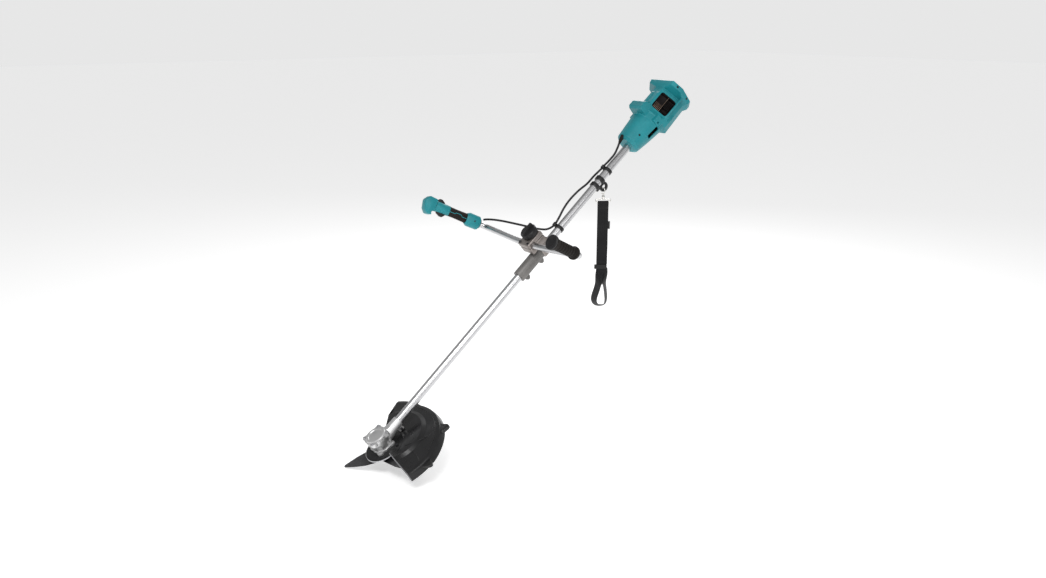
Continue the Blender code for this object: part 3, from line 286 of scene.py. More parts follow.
# darker and lighter colour, roughness range, metallic, grain scale, shade scale, bump, rubbed colour, depth
GRAINED = {
    "nickel": ((0.62, 0.61, 0.58), (0.78, 0.77, 0.74), (0.12, 0.24), 1.0, 400, 30, 0.05),
    "steel": ((0.44, 0.44, 0.46), (0.6, 0.6, 0.62), (0.24, 0.42), 1.0, 700, 40, 0.1),
    "screw_steel": ((0.035, 0.035, 0.04), (0.07, 0.07, 0.075), (0.3, 0.5), 0.85, 800, 60, 0.12),
    "dark_steel": ((0.03, 0.03, 0.032), (0.06, 0.06, 0.064), (0.28, 0.46), 0.9, 500, 25, 0.12,
                   (0.35, 0.35, 0.36)),
    "cast_alloy": (grey(0.56), grey(0.7), (0.34, 0.52), 0.9, 1300, 22, 0.35, grey(0.8)),
    "clamp_alloy": ((0.17, 0.15, 0.14), (0.28, 0.25, 0.235), (0.32, 0.48), 0.8, 1200, 30, 0.25,
                    (0.42, 0.39, 0.37)),
    "guard_plastic": (grey(0.006), (0.014, 0.014, 0.015), (0.2, 0.36), 0.0, 500, 8, 0.1, grey(0.03)),
    # guard_edge: lighter grey for the rod on the guard's front edge, a painted highlight where that edge
    # catches the light
    "guard_edge": ((0.17, 0.17, 0.18), (0.26, 0.26, 0.27), (0.35, 0.5), 0.3, 700, 20, 0.1),
    "black_plastic": ((0.007, 0.007, 0.0075), (0.016, 0.016, 0.017), (0.36, 0.52), 0.0, 1500, 20, 0.3,
                      grey(0.035)),
    "grey_plastic": ((0.1, 0.096, 0.092), (0.17, 0.162, 0.155), (0.38, 0.52), 0.15, 1300, 18, 0.25,
                     (0.34, 0.33, 0.32)),
    "black_rubber": ((0.007, 0.0055, 0.005), (0.018, 0.015, 0.013), (0.62, 0.82), 0.0, 1700, 26, 0.45,
                     None, 0.0004),
    "teal_plastic": ((0.006, 0.165, 0.19), (0.012, 0.235, 0.27), (0.34, 0.48), 0.0, 1500, 9, 0.22,
                     (0.02, 0.3, 0.34)),
    "cable_jacket": ((0.006, 0.006, 0.0065), (0.014, 0.014, 0.015), (0.42, 0.6), 0.0, 900, 40, 0.2),
    "copper": ((0.5, 0.2, 0.1), (0.74, 0.36, 0.18), (0.28, 0.42), 1.0, 500, 60, 0.2),
    "bay_inside": ((0.005, 0.004, 0.004), (0.014, 0.01, 0.01), (0.45, 0.62), 0.0, 1200, 30, 0.3),
    "terminal_brass": ((0.2, 0.14, 0.11), (0.34, 0.24, 0.18), (0.3, 0.5), 0.8, 600, 60, 0.1),
    "stitching": (grey(0.03), grey(0.055), (0.7, 0.85), 0.0, 900, 60, 0.2),
}
SPECULAR = {"guard_plastic": 0.3, "black_plastic": 0.25, "black_rubber": 0.15, "bay_inside": 0.12,
            "cable_jacket": 0.3, "webbing": 0.1, "screw_steel": 0.3, "teal_plastic": 0.35,
            "stitching": 0.1}               # finishes that reflect less than the usual 0.5
GUARD_COAT = 0.12


def make_finishes():
    made = {name: grained(name, *values) for name, values in GRAINED.items()}
    made["aluminium_tube"] = drawn_metal("aluminium_tube", (0.5, 0.5, 0.51), (0.6, 0.6, 0.61),
                                         (0.26, 0.36), (0.0, TILT, 0.0), (0.05, 6.0, 6.0))
    made["webbing"] = woven("webbing", (0.006, 0.006, 0.0065), (0.022, 0.022, 0.023))
    for name, level in SPECULAR.items():
        made[name].shader.inputs["Specular IOR Level"].default_value = level
    for label in ("Coat Weight", "Coat Roughness"):
        made["guard_plastic"].shader.inputs[label].default_value = GUARD_COAT
    return {name: finish.material for name, finish in made.items()}


FINISH = make_finishes()
SLOT_OF = {part["node"]: part["material_slot"] for part in frame["record"]["subparts"]}


# ----------------------------------------------------------------- mesh helpers
def only(piece):
    """Select one object alone and make it active."""
    bpy.ops.object.select_all(action="DESELECT")
    bpy.context.view_layer.objects.active = piece
    piece.select_set(True)
    return piece


@contextlib.contextmanager
def editing(piece):
    """Edit mode, with the whole mesh selected."""
    only(piece)
    bpy.ops.object.mode_set(mode="EDIT")
    bpy.ops.mesh.select_all(action="SELECT")
    yield
    bpy.ops.object.mode_set(mode="OBJECT")


def add_object(name, data):
    """A new object in the scene."""
    thing = bpy.data.objects.new(name, data)
    bpy.context.scene.collection.objects.link(thing)
    return thing


def body_of_node(node):
    return next(name for name, empty in BODIES.items() if NODES[node].parent == empty)


def wear_finish(piece, finish):
    piece.data.materials.clear()
    piece.data.materials.append(FINISH[finish])


def stand_for(piece, finish, *nodes):
    """The piece takes the place of these CAD nodes and moves with their body."""
    wear_finish(piece, finish)
    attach(piece, body_of_node(nodes[0]))
    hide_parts(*nodes)
    return piece


def add_on(piece, finish, body):
    """A small piece of its own, that no CAD node stands for."""
    wear_finish(piece, finish)
    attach(piece, body)
    return piece


def apply_all(piece):
    only(piece)
    for modifier in list(piece.modifiers):
        bpy.ops.object.modifier_apply(modifier=modifier.name)
    return piece


def soften(piece, width=0, segments=2, angle=30):
    """Round the edges sharper than an angle, if a width is given, then shade by angle."""
    if width:
        edges = piece.modifiers.new("soft_edges", "BEVEL")
        edges.width = width
        edges.segments = segments
        edges.limit_method = "ANGLE"
        edges.angle_limit = math.radians(angle)
        apply_all(piece)
    only(piece)
    bpy.ops.object.shade_smooth_by_angle(angle=SMOOTH)
    return piece


def tidy_mesh(piece):
    """Merge doubled points and turn the faces outward."""
    with editing(piece):
        bpy.ops.mesh.remove_doubles(threshold=2e-6)
        bpy.ops.mesh.normals_make_consistent(inside=False)
    return piece


def tilt(piece):
    """Carry a piece that was made in the tool frame into the row frame."""
    piece.data.transform(TOOL)
    return piece


def dress(finish, ending, width, segments, *nodes):
    """Give CAD nodes a finish as merged copies, their flat faces joined and their edges rounded."""
    for node in nodes:
        piece = add_object(node + "_" + ending, NODES[node].data.copy())
        with editing(piece):
            bpy.ops.mesh.customdata_custom_splitnormals_clear()
            bpy.ops.mesh.remove_doubles(threshold=4e-6)
            bpy.ops.mesh.dissolve_limited(angle_limit=math.radians(0.7))
        stand_for(soften(piece, width, segments), finish, node)


def new_mesh(name, verts, faces):
    mesh = bpy.data.meshes.new(name)
    mesh.from_pydata([tuple(v) for v in verts], [], faces)
    return add_object(name, mesh)


def loft(name, rings, closed=False):
    """Skin a run of equal rings."""
    count = len(rings[0])
    faces = []
    for i in range(len(rings) - (0 if closed else 1)):
        a = i * count
        b = ((i + 1) % len(rings)) * count
        for j in range(count):
            k = (j + 1) % count
            faces.append((a + j, a + k, b + k, b + j))
    if not closed:
        faces.append(tuple(range(count)))
        faces.append(tuple(range((len(rings) - 1) * count, len(rings) * count)))
    return tidy_mesh(new_mesh(name, [p for ring in rings for p in ring], faces))


def square_axes(axis, hint=None):
    axis = axis.normalized()
    hint = hint or (Y if abs(axis.y) < 0.9 else X)
    first = (hint - axis * hint.dot(axis)).normalized()
    return first, axis.cross(first)


def circle(centre, first, second, radius, sides):
    """Evenly spaced points round a centre, in the plane of two axes."""
    turns = [2 * math.pi * i / sides for i in range(sides)]
    return [centre + (first * math.cos(t) + second * math.sin(t)) * radius for t in turns]


def turned(name, profile, base, axis, sides=64, ring=False):
    """Turn (distance along axis, radius) points."""
    axis = axis.normalized()
    first, second = square_axes(axis)
    rings = [circle(base + axis * along, first, second, radius, sides) for along, radius in profile]
    return loft(name, rings, closed=ring)


def heading(points, i):
    """The direction of a run of points at one of them."""
    return (points[min(i + 1, len(points) - 1)] - points[max(i - 1, 0)]).normalized()


def round_sections(points, radius, sides):
    """A circle square to the run at each of its points, carried without twist."""
    rings = []
    guide = None
    for i, point in enumerate(points):
        guide, second = square_axes(heading(points, i), guide)
        rings.append(circle(point, guide, second, radius, sides))
    return rings


def swept(name, points, radius, sides=24):
    """A round bar along a run of points."""
    return loft(name, round_sections(points, radius, sides))


def block(name, low, high, axes=(X, Y, Z), base=ORIGIN, bevel=0.0, segments=3):
    """A box between two corners along three axes, its edges rounded; made from a cube primitive."""
    size = [b - a for a, b in zip(low, high)]
    bpy.ops.object.select_all(action="DESELECT")
    bpy.ops.mesh.primitive_cube_add(size=1.0)
    piece = bpy.context.object
    piece.name = name
    middle = [(a + b) / 2 for a, b in zip(low, high)]
    turn = Matrix((axes[0], axes[1], axes[2])).transposed().to_4x4()
    piece.data.transform(Matrix.Translation(base) @ turn @ Matrix.Translation(middle)
                         @ Matrix.Diagonal((*size, 1.0)))
    tidy_mesh(piece)
    return soften(piece, bevel, segments) if bevel else piece


def plate(name, outline, low, high, axes, base):
    """An outline in the first two axes, given thickness along the third."""
    return loft(name, [[base + axes[0] * u + axes[1] * v + axes[2] * level for u, v in outline]
                       for level in (low, high)])


def combine(piece, operation, *others):
    """Join or cut closed meshes, and remove what was used."""
    for other in others:
        step = piece.modifiers.new("combine", "BOOLEAN")
        step.operation = operation
        step.object = other
        step.solver = "MANIFOLD"
        apply_all(piece)
        bpy.data.objects.remove(other, do_unlink=True)
    return piece


CURVE_STEPS = 16


def smooth_route(points, step):
    """Evenly spaced points on a Catmull-Rom curve through the given ones."""
    points = [Vector(p) for p in points]
    dense = []
    for i in range(len(points) - 1):
        p0 = points[max(i - 1, 0)]
        p1, p2 = points[i], points[i + 1]
        p3 = points[min(i + 2, len(points) - 1)]
        for k in range(CURVE_STEPS):
            t = k / CURVE_STEPS
            dense.append(0.5 * (2 * p1 + (p2 - p0) * t + (2 * p0 - 5 * p1 + 4 * p2 - p3) * t * t
                                + (3 * p1 - p0 - 3 * p2 + p3) * t ** 3))
    dense.append(points[-1])
    length = sum((b - a).length for a, b in zip(dense, dense[1:]))
    count = max(2, round(length / step))
    spaced = [dense[0]]
    walked = 0.0
    for a, b in zip(dense, dense[1:]):
        span = (b - a).length
        while len(spaced) < count and walked + span >= length * len(spaced) / count:
            spaced.append(a.lerp(b, (length * len(spaced) / count - walked) / span))
        walked += span
    spaced.append(dense[-1])
    return spaced


# ------------------------------------------------------------------ tube and bar
TUBE_R = 0.014
TUBE_BORE = 0.0125
TUBE_FRONT = -0.816
TUBE_REAR = 0.56


def make_tube():
    """The long alloy tube, with its ends lightly chamfered."""
    lip = 0.0004
    profile = [(TUBE_FRONT, TUBE_BORE), (TUBE_FRONT, TUBE_R - lip), (TUBE_FRONT + lip, TUBE_R),
               (TUBE_REAR - lip, TUBE_R), (TUBE_REAR, TUBE_R - lip), (TUBE_REAR, TUBE_BORE)]
    tube = tilt(turned("main_tube_drawn", profile, ORIGIN, X, 96, ring=True))
    stand_for(soften(tube), "aluminium_tube", "main_tube")


BAR_R = 0.011
BAR_BORE = 0.0095
GRIP_BORE = 0.0113
BAR_X = -0.036
BAR_Z = 0.057
BAR_FLAT = 0.062
BEND_LEFT = 0.29
BEND_RIGHT = 0.264
BEND_RISE = 0.083
BEND_REACH = 0.022
GRIP_DIR = Vector((-0.38, 0.25, 0.89)).normalized()


def bar_corner(side):
    """Where an arm's line meets its grip's line, and the grip's direction."""
    out = BEND_RIGHT if side > 0 else BEND_LEFT
    corner = Vector((BAR_X + 0.005, side * out, BAR_Z + BEND_RISE * (out - BAR_FLAT)))
    return corner, Vector((GRIP_DIR.x, side * GRIP_DIR.y, GRIP_DIR.z))


def bar_route(side, last):
    middle = Vector((BAR_X, 0, BAR_Z))
    flat = Vector((BAR_X, side * BAR_FLAT, BAR_Z))
    bend, grip = bar_corner(side)
    arm = (bend - flat).normalized()
    points = [middle, flat - Y * side * 0.02]
    for i in range(9):
        t = i / 8
        points.append((flat - Y * side * 0.016).lerp(flat, t).lerp(flat.lerp(flat + arm * 0.016, t), t))
    start = bend - arm * BEND_REACH
    end = bend + grip * BEND_REACH
    for i in range(17):
        t = i / 16
        points.append(start.lerp(bend, t).lerp(bend.lerp(end, t), t))
    points.append(bend + grip * last)
    return points


def make_bar():
    """Handlebar tube, open at both ends, with its wall."""
    route = bar_route(-1, 0.15)[::-1] + bar_route(1, 0.145)[1:]
    outside, bore = (round_sections(route, radius, 40) for radius in (BAR_R, BAR_BORE))
    bar = tilt(loft("handlebar_tube_bent", outside + bore[::-1], closed=True))
    stand_for(soften(bar), "aluminium_tube", "handlebar_tube")


# ------------------------------------------------------------------------ grips
def grip_frame(side):
    corner, along = bar_corner(side)
    front = (-X + along * along.x).normalized()
    return corner, (front, along.cross(front), along)


def oval(base, axes, along, half_front, half_side, power=1.0, shift=0.0):
    """An oval section of a grip; a power below one squares it off."""
    ring = []
    for i in range(56):
        t = 2 * math.pi * i / 56
        c, s = (math.copysign(abs(v) ** power, v) for v in (math.cos(t), math.sin(t)))
        ring.append(base + axes[0] * (shift + half_front * c) + axes[1] * (half_side * s) + axes[2] * along)
    return ring


def ovals(base, axes, *rows):
    return [oval(base, axes, *values) for values in rows]


def make_left_grip():
    """Ribbed rubber sleeve with a thick flange, and its oval end cap."""
    base, axes = grip_frame(-1)
    start, end = 0.036, 0.178
    rings = ovals(base, axes, (start, 0.0195, 0.018), (start + 0.0015, 0.0215, 0.02),
                  (start + 0.009, 0.0225, 0.021), (start + 0.0105, 0.0212, 0.0198))
    ribs = 7
    pitch = 0.0145
    for i in range(ribs):
        low = start + 0.015 + i * pitch
        for along, size in ((0, 0), (0.0012, 0.6), (0.0026, 1), (0.0064, 1), (0.0078, 0.6), (0.009, 0)):
            rings.append(oval(base, axes, low + along, 0.017 + 0.0014 * size, 0.0163 + 0.0012 * size))
    rings += ovals(base, axes, (end - 0.017, 0.0205, 0.0188), (end - 0.012, 0.0236, 0.0202),
                   (end - 0.0075, 0.024, 0.0206), (end - 0.0062, 0.0232, 0.0198),
                   (end - 0.0062, GRIP_BORE, GRIP_BORE), (start, GRIP_BORE, GRIP_BORE))
    grip = tilt(loft("left_grip_rubber", rings, closed=True))
    stand_for(soften(grip), "black_rubber", "left_grip")
    cap = ovals(base, axes, (end - 0.0059, 0.0238, 0.0202), (end - 0.005, 0.0245, 0.0208),
                (end - 0.0018, 0.0245, 0.0208), (end - 0.0004, 0.0232, 0.0196), (end, 0.0215, 0.018),
                (end, 0.015, 0.012), (end - 0.001, 0.014, 0.011))
    stand_for(soften(tilt(loft("left_grip_end", cap))), "black_plastic", "left_grip_cap")


def grip_surface(axes, base, along, front, proud=0.0):
    """A point on the right grip's near side, a share of the way to its front."""
    half_front = 0.0178 + 0.001 * math.sin(math.pi * (along - 0.08) / 0.125)
    half_side = 0.0168 + proud
    side = half_side * math.sqrt(max(0.0, 1 - (front / (half_front + proud)) ** 2))
    return base + axes[0] * front - axes[1] * side + axes[2] * along


def grip_slots(axes, base):
    """Cutters for the trigger, the lever and the button."""
    return [block("slot_1", (0.002, -0.006, 0.155), (0.04, 0.006, 0.199), axes, base),
            block("slot_2", (-0.03, -0.0062, 0.171), (-0.007, 0.0062, 0.2025), axes, base),
            block("slot_3", (-0.0052, -0.025, 0.1598), (0.0052, -0.011, 0.1702), axes, base)]


def make_right_grip():
    """Teal collar and end guard, rubber body, teal switch panel and thin inlays."""
    base, axes = grip_frame(1)
    dress("black_rubber", "rubber", 0.0005, 2, "grip_body")
    dress("teal_plastic", "moulded", 0.0012, 3, "grip_end_guard")
    rings = ovals(base, axes, (0.024, 0.0175, 0.016, 0.8), (0.0252, 0.0186, 0.017, 0.8),
                  (0.0292, 0.024, 0.0198, 0.7), (0.0312, 0.025, 0.0205, 0.7), (0.069, 0.0255, 0.021, 0.7),
                  (0.0708, 0.0248, 0.0204, 0.7), (0.079, 0.0202, 0.0177, 0.8), (0.08, 0.0196, 0.0171, 0.8),
                  (0.08, GRIP_BORE, GRIP_BORE), (0.024, GRIP_BORE, GRIP_BORE))
    collar = tilt(loft("grip_collar_moulded", rings, closed=True))
    stand_for(soften(collar), "teal_plastic", "grip_collar")

    proud = 0.0007
    rings = ovals(base, axes, (0.15, 0.0178 + proud / 2, 0.0164), (0.1512, 0.018 + proud, 0.0171),
                  (0.18, 0.0185 + proud, 0.0168 + proud, 1.0, 0.0005),
                  (0.2045, 0.0195 + proud, 0.0175 + proud, 1.0, 0.001))
    panel = combine(loft("switch_panel", rings), "DIFFERENCE", *grip_slots(axes, base))
    add_on(soften(tilt(panel), 0.0004), "teal_plastic", "handlebar")

    for side, word in ((1, "near"), (-1, "far")):
        side_axes = (axes[0], axes[1] * side, axes[2])
        route = [(0.082, 0.003), (0.1, 0.003), (0.106, -0.002), (0.125, -0.002), (0.131, 0.002),
                 (0.15, 0.002)]
        points = [grip_surface(side_axes, base, along, front, 0.0002) for along, front in route]
        line = tilt(swept("grip_inlay_" + word, smooth_route(points, 0.002), 0.0011, 12))
        add_on(soften(line), "teal_plastic", "handlebar")
        profile = [(0.0, 0.003), (0.0012, 0.003), (0.0016, 0.0024), (0.0016, 0.0012), (0.0006, 0.0012)]
        screw = turned("collar_screw_" + word, profile, base - side_axes[1] * 0.0203 + axes[2] * 0.05,
                       -side_axes[1], 24)
        add_on(soften(tilt(screw)), "screw_steel", "handlebar")

    ring = [(0.0, 0.0056), (0.0, 0.007), (0.0012, 0.0068), (0.0016, 0.0062), (0.0012, 0.0056)]
    bezel = turned("button_bezel", ring, base + axes[2] * 0.165 - axes[1] * 0.0166, -axes[1], 32, ring=True)
    add_on(soften(tilt(bezel)), "black_plastic", "handlebar")
    rings = ovals(base, axes, (0.0222, 0.0165, 0.015, 0.8), (0.0226, 0.0172, 0.0157, 0.8),
                  (0.0238, 0.0172, 0.0157, 0.8), (0.0238, GRIP_BORE, GRIP_BORE),
                  (0.0222, GRIP_BORE, GRIP_BORE))
    add_on(soften(tilt(loft("collar_end_plate", rings, closed=True))), "black_plastic", "handlebar")
    dress("black_plastic", "moulded", 0.0011, 3, "trigger", "lock_off_lever")
    dress("grey_plastic", "cap", 0.0004, 2, "power_button")


# ----------------------------------------------------------------------- guard
HEAD = Vector((-0.867, 0, 0))
HEAD_ANGLE = math.radians(79)
SPINDLE = Vector((math.cos(HEAD_ANGLE), 0, math.sin(HEAD_ANGLE)))
HEAD_AXES = (*square_axes(SPINDLE, Y), SPINDLE)
BACK_SIGN = 1.0 if HEAD_AXES[1].x < 0 else -1.0
BRACKET_TOP = -0.0218
GAP = 0.0003
WALL = 0.0028
GUARD_LEFT = -97.0
GUARD_RIGHT = 45.0
GUARD_R = 0.206


def polar(turn_deg, radius, up):
    """A point round the spindle: turn from straight back, positive to the right."""
    t = math.radians(turn_deg)
    return (HEAD + HEAD_AXES[0] * (radius * math.sin(t)) - HEAD_AXES[1] * (radius * math.cos(t) * BACK_SIGN)
            + HEAD_AXES[2] * up)


def guard_step(turn):
    share = (turn - GUARD_LEFT) / (GUARD_RIGHT - GUARD_LEFT)
    return 0.084 + 0.068 * math.sin(min(share * 1.25, 1.0) * math.pi / 2)


def guard_reach(turn):
    left = max(0.0, (-70.0 - turn) / (-70.0 - GUARD_LEFT))
    right = max(0.0, (turn - 15.0) / (GUARD_RIGHT - 15.0))
    return GUARD_R * (1.0 - 0.065 * left + 0.135 * right)


def guard_skew(turn, share):
    return 16.0 * max(0.0, (turn - 5.0) / (GUARD_RIGHT - 5.0)) * (1.0 - share)


def guard_top(turn):
    """Top line of the guard's section, from the hub to the foot of the skirt."""
    step = guard_step(turn)
    reach = guard_reach(turn)
    return [(0.048, 0.0), (step, 0.0), (step + 0.014, -0.009), (reach - 0.018, -0.011),
            (reach - 0.007, -0.015), (reach, -0.04)]


def guard_height(turn, radius):
    line = guard_top(turn)
    for (r1, h1), (r2, h2) in zip(line, line[1:]):
        if r1 <= radius <= r2:
            return h1 + (h2 - h1) * (radius - r1) / (r2 - r1)
    return 0.0


def on_guard(turn, radius, proud=0.0):
    reach = guard_reach(turn)
    level = BRACKET_TOP + GAP + WALL + guard_height(turn, radius) + proud
    return polar(turn + guard_skew(turn, radius / reach), radius, level)


def make_guard():
    """Moulded debris guard: stepped plate, rolled rim, skirt, lugs and creases, with a painted highlight
    along the front edge.
    """
    steps = 84
    rings = []
    for i in range(steps + 1):
        turn = GUARD_LEFT + (GUARD_RIGHT - GUARD_LEFT) * i / steps
        step = guard_step(turn)
        reach = guard_reach(turn)
        under = [(reach - 0.0028, -0.04), (reach - 0.0095, -0.017), (reach - 0.019, -0.0138),
                 (step + 0.0125, -0.0118), (step - 0.0015, -WALL), (0.048, -WALL)]
        rings.append([polar(turn + guard_skew(turn, r / reach), r, BRACKET_TOP + GAP + WALL + h)
                      for r, h in guard_top(turn) + under])
    guard = soften(loft("guard_moulded", rings), 0.0022, 4, 12)
    for turn, size in ((-33, 0.024), (-76, 0.02), (30, 0.018)):
        out = (polar(turn, 1, 0) - polar(turn, 0, 0)).normalized()
        outline = [(-size, -0.01), (-size * 0.35, size * 0.75), (0.0, size * 0.95),
                   (size * 0.35, size * 0.75), (size, -0.01)]
        lug = plate("lug", outline, BRACKET_TOP - 0.03, BRACKET_TOP - 0.018,
                    (SPINDLE.cross(out), out, SPINDLE), HEAD + out * (guard_reach(turn) - 0.001))
        combine(guard, "UNION", soften(lug, 0.002, 3))
    for turn in (-58, 48):
        place = polar(turn, 0.056, 0)
        hole = turned("hole", [(-0.05, 0.0029), (-0.01, 0.0029)], place, SPINDLE, 24)
        combine(guard, "DIFFERENCE", hole)
    stand_for(soften(tilt(guard)), "guard_plastic", "blade_guard")

    creases = {"crease_long": [(-62, 0.09), (-55, 0.112), (-49, 0.135), (-43, 0.16), (-38, 0.182)],
               "crease_short": [(-62, 0.09), (-66, 0.11), (-70, 0.135), (-75, 0.16), (-79, 0.18)],
               "hub_ring": [(turn, 0.074) for turn in range(-93, 30, 8)],
               "rim_line": [(turn, guard_reach(turn) - 0.0215) for turn in range(-66, 34, 6)]}
    for name, line in creases.items():
        points = smooth_route([on_guard(turn, radius, 0.0001) for turn, radius in line], 0.003)
        add_on(soften(tilt(swept("guard_" + name, points, 0.001, 10))), "guard_plastic", "frame")

    # A lighter grey rod along the guard's front edge: a painted highlight where the edge catches the light.
    reach = guard_reach(GUARD_LEFT)
    radii = [0.056, 0.07] + [0.08 + 0.008 * i for i in range(14)]
    radii = [r for r in radii if r < reach - 0.003] + [reach - 0.0015]
    points = [on_guard(GUARD_LEFT + 0.3, r, -0.0009) for r in radii]
    edge_highlight = tilt(swept("guard_front_edge_highlight", smooth_route(points, 0.003), 0.002, 12))
    add_on(soften(edge_highlight), "guard_edge", "frame")


# ------------------------------------------------------------------- gear head
def numbered(word, count):
    return ["%s_%d" % (word, k + 1) for k in range(count)]


def make_gear_head():
    """Cast case and cap, with the bracket's metal rim and the fasteners."""
    dress("cast_alloy", "cast", 0.001, 3, "gear_case")
    dress("cast_alloy", "cast", 0.0009, 3, "gear_case_cap")
    dress("black_plastic", "pressed", 0.0008, 3, "guard_bracket")
    rim = [(BRACKET_TOP - 0.0036, 0.0618), (BRACKET_TOP - 0.004, 0.064), (BRACKET_TOP - 0.0028, 0.0652),
           (BRACKET_TOP - 0.0002, 0.0652), (BRACKET_TOP + 0.0008, 0.0644), (BRACKET_TOP + 0.0004, 0.0632),
           (BRACKET_TOP - 0.003, 0.0618)]
    ring = tilt(turned("bracket_rim", rim, HEAD, SPINDLE, 96, ring=True))
    add_on(soften(ring), "steel", "frame")
    dress("steel", "turned", 0.0004, 2, *numbered("cap_screw", 4))
    dress("screw_steel", "turned", 0.0004, 2, "neck_bolt", *numbered("bracket_screw", 2),
          *numbered("guard_bolt", 2), *numbered("housing_screw", 4))
    dress("dark_steel", "ground", 0.0006, 1, "cutting_blade")
    for node, ending in (("blade_holder", "turned"), ("glide_cup", "pressed"), ("blade_nut", "milled")):
        dress("steel", ending, 0.0006, 2, node)


# --------------------------------------------------------------- sleeve, clamp
def make_middle():
    """Sleeve, bar clamp, knob, clips and hanger."""
    dress("grey_plastic", "moulded", 0.0009, 3, "shaft_sleeve")
    dress("clamp_alloy", "cast", 0.0008, 2, "clamp_base", "bar_saddle", "bar_cap")
    dress("black_plastic", "moulded", 0.001, 3, "clamp_knob")
    dress("black_plastic", "moulded", 0.0006, 2, "lower_cable_clip", "upper_cable_clip", "hanger_clamp",
          "strap_slider")
    profile = [(0.0, 0.0045), (0.003, 0.0045), (0.0038, 0.0038), (0.0038, 0.0022), (0.0016, 0.0022)]
    for side, word in ((-1, "left"), (1, "right")):
        head = turned("saddle_screw_" + word, profile, Vector((-0.047, side * 0.022, 0.0757)), Z, 32)
        add_on(soften(tilt(head)), "screw_steel", "handlebar")


# ----------------------------------------------------------------------- cables
CABLE_R = 0.0038
HANDLE_ROUTE = [(-0.018, 0.262, 0.096), (-0.013, 0.245, 0.0965), (-0.006, 0.21, 0.096),
                (0.001, 0.165, 0.093), (0.009, 0.12, 0.085), (0.02, 0.08, 0.071),
                (0.03, 0.056, 0.056), (0.0365, 0.045, 0.047)]
MAIN_ROUTE = [(0.0375, 0.0434, 0.0455), (0.045, 0.032, 0.037), (0.056, 0.02, 0.027),
              (0.07, 0.0125, 0.022), (0.084, 0.0105, 0.019), (0.096, 0.0105, 0.019),
              (0.12, 0.012, 0.023), (0.16, 0.0165, 0.03), (0.2, 0.018, 0.0325),
              (0.245, 0.016, 0.03), (0.285, 0.013, 0.0235), (0.325, 0.0125, 0.0225),
              (0.355, 0.011, 0.02), (0.368, 0.0105, 0.019), (0.38, 0.0105, 0.019),
              (0.405, 0.006, 0.02), (0.435, 0.0015, 0.023), (0.46, 0.0000, 0.032),
              (0.476, 0.0000, 0.0395)]
BOOT_START = Vector((0.4775, 0, 0.04))
BOOT_DIR = Vector((0.024, 0, 0.008)).normalized()


def make_cables():
    """Both runs of the control cable, and the ribbed boot where it enters the housing."""
    for name, route in (("handle_cable", HANDLE_ROUTE), ("main_cable", MAIN_ROUTE)):
        points = [TOOL @ p for p in smooth_route(route, 0.006)]
        piece = soften(swept(name + "_jacket", points, CABLE_R, 20))
        if name == "main_cable":
            stand_for(piece, "cable_jacket", name)
        else:                                    # attached to no body: it runs beside the clamp, where the handlebar swivels
            wear_finish(piece, "cable_jacket")
            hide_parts(name)
            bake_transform(piece)
    profile = [(0.0, CABLE_R + 0.0008)]
    for i in range(5):
        low = 0.002 + 0.004 * i
        size = 0.0052 + 0.0005 * i
        profile += [(low, size), (low + 0.0022, size + 0.0002), (low + 0.0026, size - 0.0009),
                    (low + 0.0036, size - 0.0008)]
    profile += [(0.0225, 0.0072), (0.03, 0.0072)]
    boot = turned("cable_boot_ribbed", profile, BOOT_START, BOOT_DIR, 40)
    stand_for(soften(tilt(boot)), "black_rubber", "cable_boot")


# --------------------------------------------------------------- hook and strap
EYE = row(0.326, 0, -0.031)
EYE_HOLE = 0.0085
HOOK_TOP = EYE.z - EYE_HOLE + 0.0034
RING_Z = EYE.z - 0.051
WEB_BOTTOM = EYE.z - 0.46
SLIDER_TOP = EYE.z - 0.29
STRAP_YAW = math.radians(-30)
WEB_W = 0.04
LOOP_W = 0.036
WEB_THICK = 0.0015
PLY_GAP = 0.0012                              # from the strap's middle to a ply
RING_TURN = 0.0034                            # and where it passes over the ring
ACROSS = Vector((math.cos(STRAP_YAW), math.sin(STRAP_YAW), 0))
DEPTH = Vector((-math.sin(STRAP_YAW), math.cos(STRAP_YAW), 0))
FOOT = Vector((EYE.x, 0, 0))


